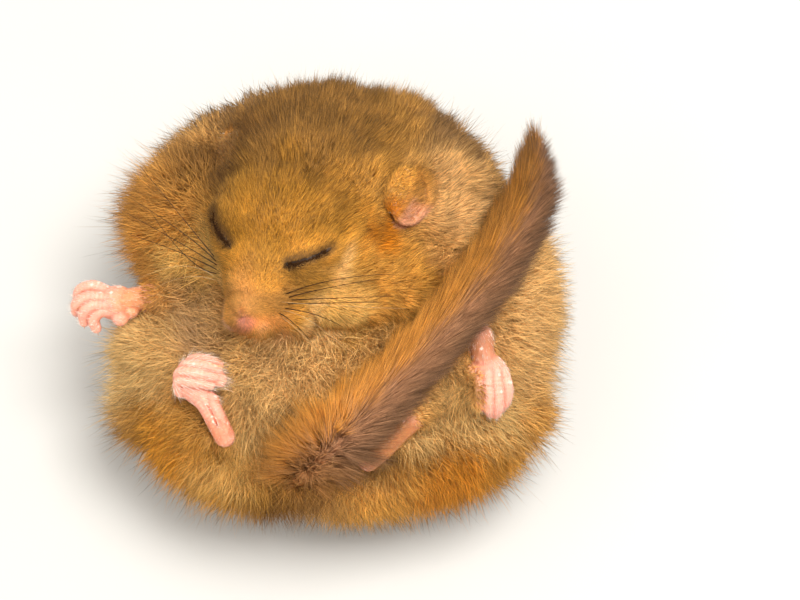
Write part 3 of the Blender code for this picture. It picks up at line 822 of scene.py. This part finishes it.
# Where the coat runs on over bare skin: the right wrist and the toes under the tail
CUFFS = (((-18.4, 0.6, 4.6), 2.2), ((11.4, -9.6, 9.8), 4.2))

# Where the bare skin is warmer than on the fingers and toes: the heels and the wrists
WARM_SKIN = (
    ((-13.0, -13.9, 9.5), 3.6, "D4805A"),
    ((-12.2, -10.6, 11.0), 1.6, "D8866E"),
    ((-21.8, 0.2, 6.0), 3.4, "D08A5C"),
    ((15.6, -4.9, 9.0), 3.4, "A86A40"),
    ((6.0, -14.8, 10.0), 7.0, "B07040"),
)


def bareness(points):
    """1 where the skin is bare: on the nose, the paws and the feet."""
    bare = 1 - ramp(from_limbs(points), 0.0, 0.5)
    for centre, reach in CUFFS:
        bare *= ramp(distance(points, centre) - reach, -0.8, 0.8)
    nose = 1 - ramp(outside(points, NOSE), 0.0, 0.3)
    return np.maximum(bare, nose)


def skin_colours(points):
    """The skin's colour: the markings and their painted shade dimmed under the coat, pink where it
    is bare.
    """
    colour = markings_and_shade(points)
    colour[:, :3] *= (0.95 - 0.4 * ramp(distance(points, NOSE_TIP), 2.0, 7.0))[:, None]
    share, angle, _, _ = tail_place(points)
    by_tail = (outside(points, TAIL_BONES) < 0.35)[:, None]
    colour = np.where(by_tail, tail_markings(share, angle) * (0.9, 0.8, 0.8, 1), colour)
    ears = 1 - ramp(outside(points, EARS), 0.0, 0.4)
    ears = (ears * (1 - ramp(ear_place(points)[:, 1], 0, 1)))[:, None]
    colour = toward(colour, ears, EAR_SKIN)
    bare = bareness(points)[:, None]
    colour = toward(colour, bare, PINK)
    for centre, reach, shade in WARM_SKIN:
        near = 1 - ramp(distance(points, centre), 0.3 * reach, reach)
        colour = toward(colour, bare * near[:, None], shade)
    nose = (1 - ramp(outside(points, NOSE), 0.0, 0.8))[:, None]
    colour = toward(colour, nose, NOSE_SKIN)
    colour[:, 3] = np.maximum(bare * (1 - 0.8 * nose), 0.4 * ears)[:, 0]
    lids = (1 - ramp(slit_distance(points), 0.18, 0.35))[:, None]
    colour[:, :3] += lids * (np.array(linear("24160C")) - colour[:, :3])
    return colour


# ---- The coat ----


def tangent(vectors, normals):
    """The vectors laid flat on the skin."""
    return unit(vectors - normals * np.sum(vectors * normals, axis=1, keepdims=True))


def lie(points, normals):
    """Which way the hair lies: back from the nose, round the ball and down the back."""
    part = shares(points, FURRED_PARTS, 1.5)
    from_nose = unit(points - np.array(NOSE_TIP) + np.array((0.3, -1.0, 0.0)))
    outward = unit((points - np.array((-2.0, 3.0, 0.0))) * np.array((1.0, 1.0, 0.35)))
    back = ramp(-points[:, 2], 1.0, 9.0)[:, None]
    body = outward * (1 - back) + np.array((0.0, -1.0, 0.0)) * back * 1.2
    face = (part["head"] + 0.8 * part["neck"])[:, None]
    to_paw = np.array((-0.9, -0.45, 0.1)) * part["arm_right"][:, None]
    to_paw = to_paw + np.array((0.5, -0.9, 0.2)) * part["arm_left"][:, None]
    flow = from_nose * face + body * (1 - face) + to_paw * 0.8
    belly = part["torso"] * ramp(points[:, 2], 2.0, 7.0)
    swirl = 0.12 + 0.5 * belly + 0.2 * (part["leg_right"] + part["leg_left"])
    whorl = 1 - ramp(distance(points, TAIL[4]), 2.5, 6.0)
    flow += whorl[:, None] * (2.0 * np.array(ROOT_COMB) + 0.6 * waves(points, 1.6, 22))
    return tangent(flow + swirl[:, None] * waves(points, 6.0, 21), normals)


class Skin:
    """The skin's triangles, to draw roots on."""

    def __init__(self, obj):
        mesh = obj.data
        mesh.calc_loop_triangles()
        count = len(mesh.loop_triangles)
        corners = np.empty(count * 3, dtype=np.int64)
        loops = np.empty(count * 3, dtype=np.int64)
        mesh.loop_triangles.foreach_get("vertices", corners)
        mesh.loop_triangles.foreach_get("loops", loops)
        self.points, self.normals = points_of(obj)
        self.corners = corners.reshape(-1, 3)
        unwrap = np.empty(len(mesh.loops) * 2)
        mesh.uv_layers.active.data.foreach_get("uv", unwrap)
        self.unwrap = unwrap.reshape(-1, 2)[loops].reshape(-1, 3, 2)
        a, b, c = (self.points[self.corners[:, k]] for k in range(3))
        self.middles = (a + b + c) / 3
        self.areas = np.linalg.norm(np.cross(b - a, c - a), axis=1) / 2

    def roots(self, count, weight, dice):
        """Random roots, as dense as the weight of the triangles says: place, normal, unwrap."""
        odds = self.areas * weight
        pick = dice.choice(len(odds), size=count, p=odds / odds.sum())
        first, second = dice.random((2, count))
        over = first + second > 1
        first, second = np.where(over, 1 - first, first), np.where(over, 1 - second, second)
        mix = np.stack((1 - first - second, first, second), axis=1)[:, :, None]
        corners = self.corners[pick]
        places = np.sum(self.points[corners] * mix, axis=1)
        normals = unit(np.sum(self.normals[corners] * mix, axis=1))
        return places, normals, np.sum(self.unwrap[pick] * mix, axis=1)


# How wide a tuft's patch of the unwrap is, and how deep its root sits in the skin
PATCH = 0.003
ROOT_SUNK = 0.12


def tufts(name, roots, normals, unwrap, rise, reach, width, colour, tick, dice):
    """A piece of coat: a tuft at each root, as a slim spike of three sides that is closed below."""
    count = len(roots)
    top = roots + rise + reach
    start = roots - normals * ROOT_SUNK
    growth = unit(top - start)
    across = unit(np.cross(normals, growth))
    up = np.cross(growth, across)
    half = (width * 0.5)[:, None]
    corners = []
    for a in (pi / 2, pi / 2 + 2 * pi / 3, pi / 2 + 4 * pi / 3):
        corners.append(start + across * half * cos(a) + up * half * 0.7 * sin(a))
    points = np.stack((*corners, top), axis=1).reshape(-1, 3)
    along = np.array((0.0, 0.0, 0.0, 1.0))
    faces = np.array(((0, 2, 1), (0, 1, 3), (1, 2, 3), (2, 0, 3)))
    triangles = (faces[None] + 4 * np.arange(count)[:, None, None]).reshape(-1, 3)
    mesh = bpy.data.meshes.new(name)
    mesh.vertices.add(len(points))
    mesh.vertices.foreach_set("co", points.ravel())
    mesh.loops.add(triangles.size)
    mesh.loops.foreach_set("vertex_index", triangles.ravel())
    mesh.polygons.add(len(triangles))
    mesh.polygons.foreach_set("loop_start", np.arange(0, triangles.size, 3))
    mesh.update(calc_edges=True)
    give(mesh, "marking_and_shade", "FLOAT_COLOR", np.repeat(colour, 4, axis=0))
    strand = np.empty((count, 4, 3))
    strand[:, :, 0] = along
    strand[:, :, 1] = tick[:, None]
    strand[:, :, 2] = dice.random(count)[:, None]
    give(mesh, "strand", "FLOAT_VECTOR", strand)
    spot = np.array(((0, 0), (0.5, 0), (1, 0), (0, 1))) * PATCH
    corner_spots = (unwrap[:, None, None, :] + spot[faces][None]).reshape(-1, 2)
    mesh.uv_layers.new(name="OFBake").data.foreach_set("uv", corner_spots.ravel())
    return shown(name, mesh)


def kept_in(obj):
    """Presses flat what would reach through the floor or past the body's size."""
    points, _ = points_of(obj)
    low, high = (np.array(corner) for corner in CAD_BOX)
    points = np.clip(points, low - STRAY, high + STRAY)
    points[:, 2] = np.maximum(points[:, 2], FLOOR)
    move_points(obj, points)


def fur(name, hide, count, weight, width, ruffle, laid, tuck, seed, material):
    """One piece of the body's coat, ruffled and laid so far, that may tuck under the head."""
    dice = np.random.default_rng(seed)
    roots, normals, unwrap = hide.roots(count, weight, dice)
    depth = coat_depth(roots)
    flow = lie(roots, normals)
    long = ramp(depth, 0.4, 2.2)
    height = depth * dice.uniform(0.45, 0.92, count)
    guard = dice.random(count) < 0.06
    height = np.where(guard, depth * dice.uniform(0.9, 1.5, count), height)
    if tuck:
        height *= 0.35 + 0.65 * ramp(outside(roots, BODY_PARTS["head"]), 0.4, 3.2)
    slope = (1.2 - 0.6 * long) * laid * dice.uniform(0.75, 1.2, count)
    path = [roots + flow * (depth * slope * t)[:, None] for t in (0.25, 0.5, 0.75, 1.0)]
    from_slit = np.min([slit_distance(places) for places in path], axis=0)
    slope *= 0.2 + 0.8 * ramp(from_slit, 0.05, 0.25)
    reach = flow * (depth * slope)[:, None]
    stray = waves(roots, 1.1, 31) * 0.1 + waves(roots, 3.0, 32) * 0.08
    stray += dice.normal(size=(count, 3)) * ruffle
    reach += stray * (depth * (0.5 + 0.5 * long))[:, None]
    rise = normals * height[:, None]
    size = width * dice.uniform(0.7, 1.3, count) * np.where(guard, 0.5, 1.0)
    colour = markings_and_shade(roots)
    dark = 0.2 + 0.24 * ramp(roots[:, 1], 0, 12) * ramp(roots[:, 2], 0, 8)
    dark *= ramp(distance(roots, NOSE_TIP), 1.5, 7.0)
    tick = (dice.random(count) < dark) * dice.uniform(0.5, 1.0, count)
    size *= 1 + 0.3 * (tick > 0)
    rise *= (1 + 0.12 * (tick > 0))[:, None]
    obj = tufts(name, roots, normals, unwrap, rise, reach, size, colour, tick, dice)
    lay(obj, material)
    kept_in(obj)
    return obj


def on_tail(points):
    """Whether each point is on the part of the tail that has long hair."""
    return (outside(points, TAIL_BONES) < 0.3) & (tail_place(points)[0] > TAIL_BARE)


def tail_fur(name, hide, count, seed, material):
    """The tail's long hair, lying along it and combed out to both sides."""
    dice = np.random.default_rng(seed)
    roots, normals, unwrap = hide.roots(count, on_tail(hide.middles).astype(float), dice)
    share, angle, along, side = tail_place(roots)
    base = (1 - ramp(share, 0.12, 0.34))[:, None]

    # Round its root the hair parts along the tail's middle and spreads to both sides
    parting = np.clip(angle / 0.8, -1, 1)[:, None]
    parted = along * (0.9 - 0.5 * np.abs(parting)) + 0.8 * side * parting
    along = unit(along * (1 - base) + (parted + 0.35 * waves(roots, 1.5, 43)) * base)
    size = np.interp(share, np.linspace(0, 1, len(TAIL_SIZES)), TAIL_SIZES)
    sideways = np.abs(np.sin(angle))
    depth = np.maximum(size, 2.2) * (1 - TAIL_CORE) * (0.55 + 0.45 * ramp(sideways, 0.1, 0.7))
    splay = 0.5 * (1 - base[:, 0])
    run = (2.4 + 2.8 * sideways) * dice.uniform(0.8, 1.2, count) * (0.5 + 0.5 * size / 3.4)
    run *= 1 - 0.15 * base[:, 0]
    reach = along * run[:, None] + side * (np.sign(angle) * sideways * splay)[:, None]
    loose = 0.2 + 0.4 * base[:, 0]
    reach += waves(roots, 1.6, 41) * 0.35 + dice.normal(size=(count, 3)) * loose[:, None]
    rise = normals * (depth * (1 - 0.45 * base[:, 0]) * dice.uniform(0.75, 1.1, count))[:, None]
    colour = tail_markings(share, angle + dice.normal(size=count) * 0.15)
    tick = (dice.random(count) < 0.3 * ramp(share, 0.1, 0.3)) * dice.uniform(0.5, 1.0, count)
    width = 0.08 * dice.uniform(0.7, 1.3, count)
    obj = tufts(name, roots, normals, unwrap, rise, reach, width, colour, tick, dice)
    lay(obj, material)
    kept_in(obj)
    return obj


def ear_place(points):
    """Each point's place in the frame of the nearer ear, with the ears alike."""
    left, right = [local(points, place) * (1, s, 1) for place, s in zip(EAR_FRAMES, (1, -1))]
    nearer = np.linalg.norm(left, axis=1) < np.linalg.norm(right, axis=1)
    return np.where(nearer[:, None], left, right)


def on_ear(points):
    """Whether each point is on the bare-looking part of an ear, and not where the coat runs on."""
    return (outside(points, EARS) < 0.35) & (ear_place(points)[:, 1] < 0.4)


def down(name, hide, count, seed, material):
    """Fine short hair on the nose, ears, paws and feet."""
    dice = np.random.default_rng(seed)
    ears = on_ear(hide.middles)
    nose = outside(hide.middles, NOSE) < 0.3
    weight = (bareness(hide.middles) > 0.5) * 0.7 + 14.0 * ears + 8.0 * nose
    roots, normals, unwrap = hide.roots(count, weight, dice)
    by_ear = on_ear(roots)
    from_nose = unit(roots - np.array(NOSE_TIP) + np.array((0.0, -1.0, 0.0)))
    nearest = np.argmin([outside(roots, eggs) for eggs in BARE_LIMBS], axis=0)
    to_tips = np.array(((-1.0, 0.2, 0.0), (0.05, -1.0, -0.2), (1.0, -0.25, 0.0), (0.6, 0.6, 0.0)))
    by_nose = distance(roots, NOSE_TIP) < 5
    flow = np.where((by_ear | by_nose)[:, None], from_nose, to_tips[nearest])
    flow = tangent(flow, normals)
    in_cup = ear_place(roots)
    pink = ramp(-in_cup[:, 0], 0.2, 1.4) * ramp(-in_cup[:, 1], -0.4, 0.6) * by_ear
    on_limb = np.array((0.8, 0.9, 1.6, 1.0))[nearest]
    on_limb = np.where(nearest == 2, 0.3 + 1.3 * ramp(roots[:, 1], -11.5, -9.0), on_limb)
    length = np.where(by_ear, 1.2 - 0.7 * pink, np.where(by_nose, 0.4, on_limb))
    length *= dice.uniform(0.7, 1.3, count)
    reach = flow * length[:, None] + dice.normal(size=(count, 3)) * 0.08
    rise = normals * (length * np.where(by_ear | by_nose, 0.25, 0.12))[:, None]
    pale = np.tile(paint("FFEEDD", 0.0), (count, 1))
    pale[nearest == 3] = paint("D89450", 0.0)
    orange = markings_and_shade(roots) * 0.4 + np.array(paint("C88638", 0.0)) * 0.6
    orange = toward(orange, pink[:, None], "E0A078")
    blush = paint("E89C78", 0.0)
    colour = np.where(by_ear[:, None], orange, np.where(by_nose[:, None], blush, pale))
    width = np.where(by_ear, 0.065, np.where(by_nose, 0.05, 0.04))
    tick = by_ear * (dice.random(count) < 0.2) * (1 - pink)
    obj = tufts(name, roots, normals, unwrap, rise, reach, width, colour, tick, dice)
    return lay(obj, material)


# ---- Lids, whiskers and claws ----


def strands(name, lines, thick, thin, sides=4):
    """Tapered round strands along lines of points, all with one root size."""
    form = bmesh.new()
    for points in lines:
        rings = []
        last = len(points) - 1
        for k, point in enumerate(points):
            ahead = (points[min(k + 1, last)] - points[max(k - 1, 0)]).normalized()
            turn = ahead.to_track_quat("Z", "Y").to_matrix().to_4x4()
            radius = thick + (thin - thick) * k / last
            circle = bmesh.ops.create_circle(
                form, segments=sides, radius=radius, matrix=Matrix.Translation(point) @ turn
            )
            rings.append(circle["verts"])
        for ring, after in zip(rings, rings[1:]):
            edges = [e for v in ring for e in v.link_edges if e.other_vert(v) in ring]
            edges += [e for v in after for e in v.link_edges if e.other_vert(v) in after]
            bmesh.ops.bridge_loops(form, edges=list(set(edges)))
        form.faces.new(rings[0])
        form.faces.new(rings[-1])
    bmesh.ops.recalc_face_normals(form, faces=form.faces)
    return put(name, form)


def through(start, middle, end, steps=9):
    """Points of a smooth bend from start through middle to end."""
    start, middle, end = Vector(start), Vector(middle), Vector(end)
    pull = 2 * middle - (start + end) / 2
    line = []
    for k in range(steps + 1):
        t = k / steps
        line.append(start * (1 - t) ** 2 + pull * 2 * t * (1 - t) + end * t * t)
    return line


# Where each whisker starts, bends through and ends, from six and five roots on the left and right
WHISKERS_DARK = (
    ((-5.0, 0.8, 14.6), (0.2, 2.3, 15.8), (6.4, 2.9, 15.6)),
    ((-4.6, 0.5, 14.6), (-0.3, 1.5, 15.9), (4.9, 2.4, 15.8)),
    ((-4.3, 0.2, 14.6), (0.6, 0.4, 16.0), (6.3, 0.6, 16.0)),
    ((-4.7, -0.2, 14.6), (0.4, -0.1, 16.0), (5.2, 0.0, 15.8)),
    ((-5.0, -0.7, 14.5), (-1.9, -1.3, 15.6), (1.0, -2.6, 15.0)),
    ((-5.6, -1.2, 14.4), (-4.0, -2.3, 15.2), (-2.3, -4.2, 14.2)),
    ((-12.6, 4.8, 13.0), (-15.4, 8.2, 12.6), (-20.6, 14.4, 11.0)),
    ((-12.4, 4.3, 13.0), (-15.8, 7.2, 12.6), (-21.6, 11.0, 10.6)),
    ((-12.3, 3.9, 13.0), (-16.0, 6.1, 12.4), (-22.0, 9.4, 10.4)),
    ((-12.3, 3.4, 13.0), (-16.2, 5.2, 12.2), (-21.8, 7.2, 10.2)),
    ((-12.4, 3.0, 12.8), (-15.6, 4.8, 12.2), (-19.5, 9.6, 11.0)),
)
WHISKERS_PALE = (
    ((-5.4, 0.0, 14.6), (0.5, -0.4, 16.0), (7.6, -0.7, 15.6)),
    ((-5.2, -0.9, 14.4), (-2.0, -2.2, 15.4), (1.6, -5.4, 13.6)),
    ((-5.6, -1.5, 14.2), (-3.4, -3.2, 15.0), (-0.6, -6.4, 13.4)),
    ((-12.6, 2.7, 12.8), (-16.4, 3.8, 12.0), (-21.4, 2.2, 9.6)),
    ((-12.5, 2.3, 12.8), (-15.8, 2.6, 12.0), (-19.6, 1.2, 10.0)),
)


def claw_lines():
    """The short bent claw at the tip of each finger and toe."""
    lines = []
    for digit in PAW_RIGHT_FINGERS + PAW_LEFT_FINGERS + FOOT_RIGHT_TOES + FOOT_LEFT_TOES:
        before, tip = Vector(digit[-2]), Vector(digit[-1])
        ahead = (tip - before).normalized()
        root = tip + ahead * TOE * 0.5
        end = root + ahead * 0.6 + Vector((0, 0, -0.15))
        lines.append(through(root, root + ahead * 0.32, end, 4))
    return lines


LID_STEPS = 32


def slit(side, hide_obj):
    """The line of one closed eye from its inner to its outer end, laid on the skin."""
    inner, outer = eye_ends(side)
    place, _ = eye_frame(side)
    line = []
    for k in range(LID_STEPS + 1):
        t = k / LID_STEPS
        sag = place.to_3x3() @ Vector((0, -0.3 * sin(pi * t), 0))
        _, spot, normal, _ = hide_obj.closest_point_on_mesh(inner.lerp(outer, 1.1 * t) + sag)
        line.append((spot, normal))
    return line


def lid_rims(name, side, hide_obj):
    """The two dark rims where the lids of one eye meet, thickest by the nose."""
    line = slit(side, hide_obj)
    eggs = []
    for edge in (1, -1):
        for k, (spot, normal) in enumerate(line):
            t = k / (len(line) - 1)
            along = (line[min(k + 1, LID_STEPS)][0] - line[max(k - 1, 0)][0]).normalized()
            across = normal.cross(along)
            radius = 0.11 + 0.03 * sin(pi * t) - 0.07 * ramp(t, 0.7, 1.0)
            eggs.append(egg(spot + normal * 0.03 + across * edge * radius * 0.6, (radius,) * 3))
    start, normal = line[0]
    along = (line[1][0] - start).normalized()
    for reach in (0.1, 0.25, 0.4, 0.55):
        hook = start + along * (0.15 - 0.3 * reach) + normal.cross(along) * side * reach * -1.2
        eggs.append(egg(hook, (0.24 - 0.22 * reach,) * 3))
    return sculpt(name, eggs, 0.07, 1)


def lashes(side, hide_obj, dice):
    """Short stiff hairs along the rims of one eye."""
    line = slit(side, hide_obj)
    lines = []
    for _ in range(600):
        t = dice.uniform(0, LID_STEPS - 0.01)
        k = int(t)
        spot = line[k][0].lerp(line[k + 1][0], t - k)
        normal = line[k][1]
        along = (line[k + 1][0] - line[k][0]).normalized()
        edge = dice.choice((-1, 1))
        across = normal.cross(along) * float(edge)
        root = spot + across * dice.uniform(0.0, 0.2) + normal * 0.05
        grow = along * dice.uniform(-0.2, 0.45) + across * dice.uniform(0.1, 0.36)
        grow += normal * dice.uniform(0.02, 0.14)
        lines.append([root + grow * s for s in (0, 0.5, 1)])
    return lines


# ---- Finishes ----


def node(tree, kind, inputs=None, **settings):
    """Adds a node with its settings and links."""
    made = tree.nodes.new("ShaderNode" + kind)
    for key, value in settings.items():
        setattr(made, key, value)
    for key, value in (inputs or {}).items():
        if isinstance(value, bpy.types.NodeSocket):
            tree.links.new(value, made.inputs[key])
        else:
            made.inputs[key].default_value = value
    return made


def finish(name, **values):
    """A new material with its shader's plain values set."""
    made = bpy.data.materials.new(name)
    made.use_nodes = True
    shader = made.node_tree.nodes["Principled BSDF"]
    for key, value in values.items():
        shader.inputs[key.replace("_", " ")].default_value = value
    return made, made.node_tree, shader


def hair_finish(name, under, tip):
    """Mammal hair: soft, silky keratin, dark in the underfur, with some tips ticked dark."""
    made, tree, shader = finish(name, Roughness=0.55, Specular_IOR_Level=0.25)
    marking_and_shade = node(tree, "Attribute", attribute_name="marking_and_shade").outputs
    strand = node(tree, "Attribute", attribute_name="strand").outputs
    along, tick, chance = node(tree, "SeparateXYZ", {"Vector": strand["Vector"]}).outputs
    low = node(tree, "MapRange", {"Value": along, 1: 0.05, 2: 0.7, 3: 1.0, 4: 0.0}).outputs[0]
    dim = node(tree, "Math", {0: low, 1: marking_and_shade["Alpha"]}, operation="MULTIPLY").outputs[0]
    dark_below = {0: dim, 6: marking_and_shade["Color"], 7: paint(under)}
    colour = node(tree, "Mix", dark_below, data_type="RGBA").outputs[2]
    value = node(tree, "MapRange", {"Value": chance, 3: 0.55, 4: 1.45}).outputs[0]
    each = node(tree, "HueSaturation", {"Color": colour, "Value": value}).outputs[0]
    end = node(tree, "MapRange", {"Value": along, 1: 0.4, 2: 0.75}).outputs[0]
    ticked = node(tree, "Math", {0: end, 1: tick}, operation="MULTIPLY").outputs[0]
    dark_tip = node(tree, "Mix", {0: ticked, 6: each, 7: paint(tip)}, data_type="RGBA")
    tree.links.new(dark_tip.outputs[2], shader.inputs["Base Color"])
    return made


# The skin's flushed patches are about 0.7 mm across and its creases 0.3 mm, as waves in a metre
FLUSH_SCALE = 1400
CREASE_SCALE = 3500


def skin_finish():
    """Living skin: thin and moist pink where it is bare, with fine creases, dull under the coat."""
    made, tree, shader = finish(
        "skin",
        Roughness=0.55,
        Specular_IOR_Level=0.3,
        Subsurface_Weight=0.25,
        Subsurface_Scale=0.0006,
    )
    marking_and_shade = node(tree, "Attribute", attribute_name="marking_and_shade").outputs
    spot = node(tree, "TexCoord").outputs["Object"]
    patches = {"Vector": spot, "Scale": FLUSH_SCALE, "Detail": 3}
    mottle = node(tree, "TexNoise", patches).outputs[0]
    shade = node(tree, "MapRange", {"Value": mottle, 3: 0.7, 4: 1.3}).outputs[0]
    even = {"Color": marking_and_shade["Color"], "Value": shade}
    colour = node(tree, "HueSaturation", even).outputs["Color"]

    # The dips between fingers and toes are darker red, a flush with painted shade, and the ridges
    # over their bones are pale, a painted highlight
    bend = node(tree, "NewGeometry").outputs["Pointiness"]
    for low, high, at_low, at_high, tint in (
        (0.44, 0.51, 1.0, 0.0, "B45A44"),
        (0.51, 0.58, 0.0, 0.7, "F6D2C2"),
    ):
        bent = {"Value": bend, 1: low, 2: high, 3: at_low, 4: at_high}
        bent = node(tree, "MapRange", bent).outputs[0]
        bare = node(tree, "Math", {0: bent, 1: marking_and_shade["Alpha"]}, operation="MULTIPLY").outputs[0]
        tinted = node(tree, "Mix", {0: bare, 6: colour, 7: paint(tint)}, data_type="RGBA")
        colour = tinted.outputs[2]
    tree.links.new(colour, shader.inputs["Base Color"])
    creases = node(tree, "TexVoronoi", {"Vector": spot, "Scale": CREASE_SCALE}).outputs["Distance"]
    bump = node(tree, "Bump", {"Height": creases, "Strength": 0.35, "Distance": 0.0001})
    tree.links.new(bump.outputs["Normal"], shader.inputs["Normal"])
    return made


def plain_finish(name, hex_colour, hex_other, grain, **values):
    """A material whose colour wanders between two shades over that grain in millimetres."""
    made, tree, shader = finish(name, **values)
    spot = node(tree, "TexCoord").outputs["Object"]
    noise = node(tree, "TexNoise", {"Vector": spot, "Scale": 1000 / grain}).outputs[0]
    shades = {0: noise, 6: paint(hex_colour), 7: paint(hex_other)}
    colour = node(tree, "Mix", shades, data_type="RGBA")
    tree.links.new(colour.outputs[2], shader.inputs["Base Color"])
    return made


SKIN = skin_finish()
HAIR = hair_finish("coat_hair", "6A4A24", "2E1C0C")
TAIL_HAIR = hair_finish("tail_hair", "4E3018", "38220F")

# Down: hair so fine and sparse that the warm skin shows through it
DOWN = hair_finish("down", "B87850", "4A2C14")

# Lid rim: thin skin, black with pigment and dulled by the hair round it, so it gives no glint
DULL = {"Roughness": 1.0, "Specular_IOR_Level": 0.0}
LID = plain_finish("lid_rim", "1E120A", "2E1C10", 0.4, **DULL)

# Lashes: short dark keratin hairs, too fine and matted to shine
LASH = plain_finish("lash", "342010", "4C321C", 0.4, **DULL)

# Whiskers: stiff, smooth keratin, dark ones with a faint gleam and straw-coloured ones
DARK_WHISKER = plain_finish(
    "dark_whisker", "1E120C", "34221A", 2.0, Roughness=0.45, Specular_IOR_Level=0.15
)
PALE_WHISKER = plain_finish("pale_whisker", "B08858", "D0AC78", 2.0, Roughness=0.35)

# Claws: worn, half clear horn, glossy and lit a little from within
CLAW = plain_finish(
    "claw",
    "D8B49C",
    "C89880",
    0.5,
    Roughness=0.3,
    Subsurface_Weight=0.2,
    Subsurface_Scale=0.0002,
)

# Floor: matt painted board, with a slightly uneven shade
FLOOR_FINISH = plain_finish("pale_floor", "BEBBB5", "C4C1BB", 30.0, Roughness=0.9)


# ---- Building it ----

hide_obj = skin()
bpy.context.view_layer.objects.active = hide_obj
hide_obj.select_set(True)
bpy.ops.object.mode_set(mode="EDIT")
bpy.ops.mesh.select_all(action="SELECT")
bpy.ops.uv.smart_project(angle_limit=radians(66), island_margin=0.002)
bpy.ops.object.mode_set(mode="OBJECT")
hide_obj.select_set(False)
hide = Skin(hide_obj)
give(hide_obj.data, "marking_and_shade", "FLOAT_COLOR", skin_colours(hide.points))

FLESH_NODES = ["head", "nose", "neck", "torso", "tail_root", "tail_middle", "tail_end"]
for limb_name in ("arm", "leg", "forepaw", "hind_foot", "ear"):
    FLESH_NODES += [limb_name + "_left", limb_name + "_right"]

# A copy that stays in the animal's frame, to lay the lids on
bare_hide = shown("bare_hide", hide_obj.data.copy())
lay(hide_obj, SKIN, *FLESH_NODES)

# Which of the skin's triangles each piece of the coat grows on
part = shares(hide.middles, FURRED_PARTS, 1.0)
furred = (~on_tail(hide.middles) & ~on_ear(hide.middles)) * (1 - bareness(hide.middles))
furred *= ramp(slit_distance(hide.middles), 0.08, 0.25)
on_face = (part["head"] > 0.5) & (distance(hide.middles, NOSE_TIP) < 13)
on_front = part["head"] + part["neck"] > 0.5
upper = hide.middles[:, 2] > 0.0
trunk = furred * (~on_front & upper)
belly = trunk * (distance(hide.middles[:, :2], (-3.0, -9.0)) < 13)
dense = 1 / np.maximum(coat_depth(hide.middles), 0.35) ** 1.3
face = furred * on_face * dense
crown = furred * (on_front & ~on_face & upper)
flanks = trunk * (belly == 0)
under = furred * ~upper

# Each piece: its name, tufts and place, a tuft's width, its ruffle and lay, and if it tucks in
COAT_PIECES = (
    ("face_a", 44000, face, 0.06, 0.2, 1.0, False),
    ("face_b", 44000, face, 0.06, 0.2, 1.0, False),
    ("crown_a", 38000, crown, 0.075, 0.18, 1.15, False),
    ("crown_b", 38000, crown, 0.075, 0.18, 1.15, False),
    ("belly", 42000, belly, 0.07, 0.8, 0.9, True),
    ("flanks_a", 36000, flanks, 0.08, 0.6, 1.0, True),
    ("flanks_b", 36000, flanks, 0.08, 0.6, 1.0, True),
    ("back", 40000, under, 0.16, 0.15, 1.6, False),
)
for seed, (place, *looks) in enumerate(COAT_PIECES, 1):
    fur("coat_" + place, hide, *looks, seed, HAIR)
tail_fur("coat_tail", hide, 45000, 9, TAIL_HAIR)
down("down", hide, 16000, 10, DOWN)

for side, name in ((1, "eyelids_left"), (-1, "eyelids_right")):
    lay(lid_rims(name + "_rims", side, bare_hide), LID, name)
chance = np.random.default_rng(12)
eye_hairs = lashes(1, bare_hide, chance) + lashes(-1, bare_hide, chance)
bpy.data.objects.remove(bare_hide, do_unlink=True)
lay(strands("lashes", eye_hairs, 0.03, 0.008, 3), LASH)
lay(strands("claws", claw_lines(), 0.15, 0.03, 6), CLAW)
lay(strands("whiskers_dark", [through(*w) for w in WHISKERS_DARK], 0.055, 0.018), DARK_WHISKER)
lay(strands("whiskers_pale", [through(*w) for w in WHISKERS_PALE], 0.024, 0.01), PALE_WHISKER)


# ---- Floor, light and camera ----

form = bmesh.new()
bmesh.ops.create_grid(form, x_segments=1, y_segments=1, size=0.6)
floor = put("floor", form)
floor.data.materials.append(FLOOR_FINISH)

world = bpy.data.worlds.new("studio")
world.use_nodes = True
light = world.node_tree.nodes["Background"].inputs
light["Color"].default_value = (1.0, 0.98, 0.95, 1)
light["Strength"].default_value = 0.85
bpy.context.scene.world = world
bpy.context.scene.view_settings.view_transform = "Standard"


def lamp(name, where, power, size):
    """A large soft lamp that shines at the animal."""
    light = bpy.data.lights.new(name, "AREA")
    light.energy = power
    light.size = size
    obj = shown(name, light)
    obj.location = where
    obj.rotation_euler = (Vector((0, 0, 0.015)) - Vector(where)).to_track_quat("-Z", "Y").to_euler()


lamp("key", (0.1, 0.02, 0.41), 2.3, 0.2)
lamp("fill", (-0.3, -0.1, 0.3), 0.4, 0.3)

# The photograph looks down at 72 degrees, at nine pixels a millimetre 247 mm away
AIM = LYING @ Vector((7.0, 0.2, 0.0))
AWAY = 0.247
camera_data = bpy.data.cameras.new("camera")
camera_data.lens = 100
camera_data.sensor_width = 36
camera_data.clip_start = 0.01
camera = shown("camera", camera_data)
tilt = Matrix.Rotation(HEAD_END_RAISED, 4, "X")
camera.matrix_world = Matrix.Translation(AIM + tilt @ Vector((0, 0, AWAY))) @ tilt
bpy.context.scene.camera = camera
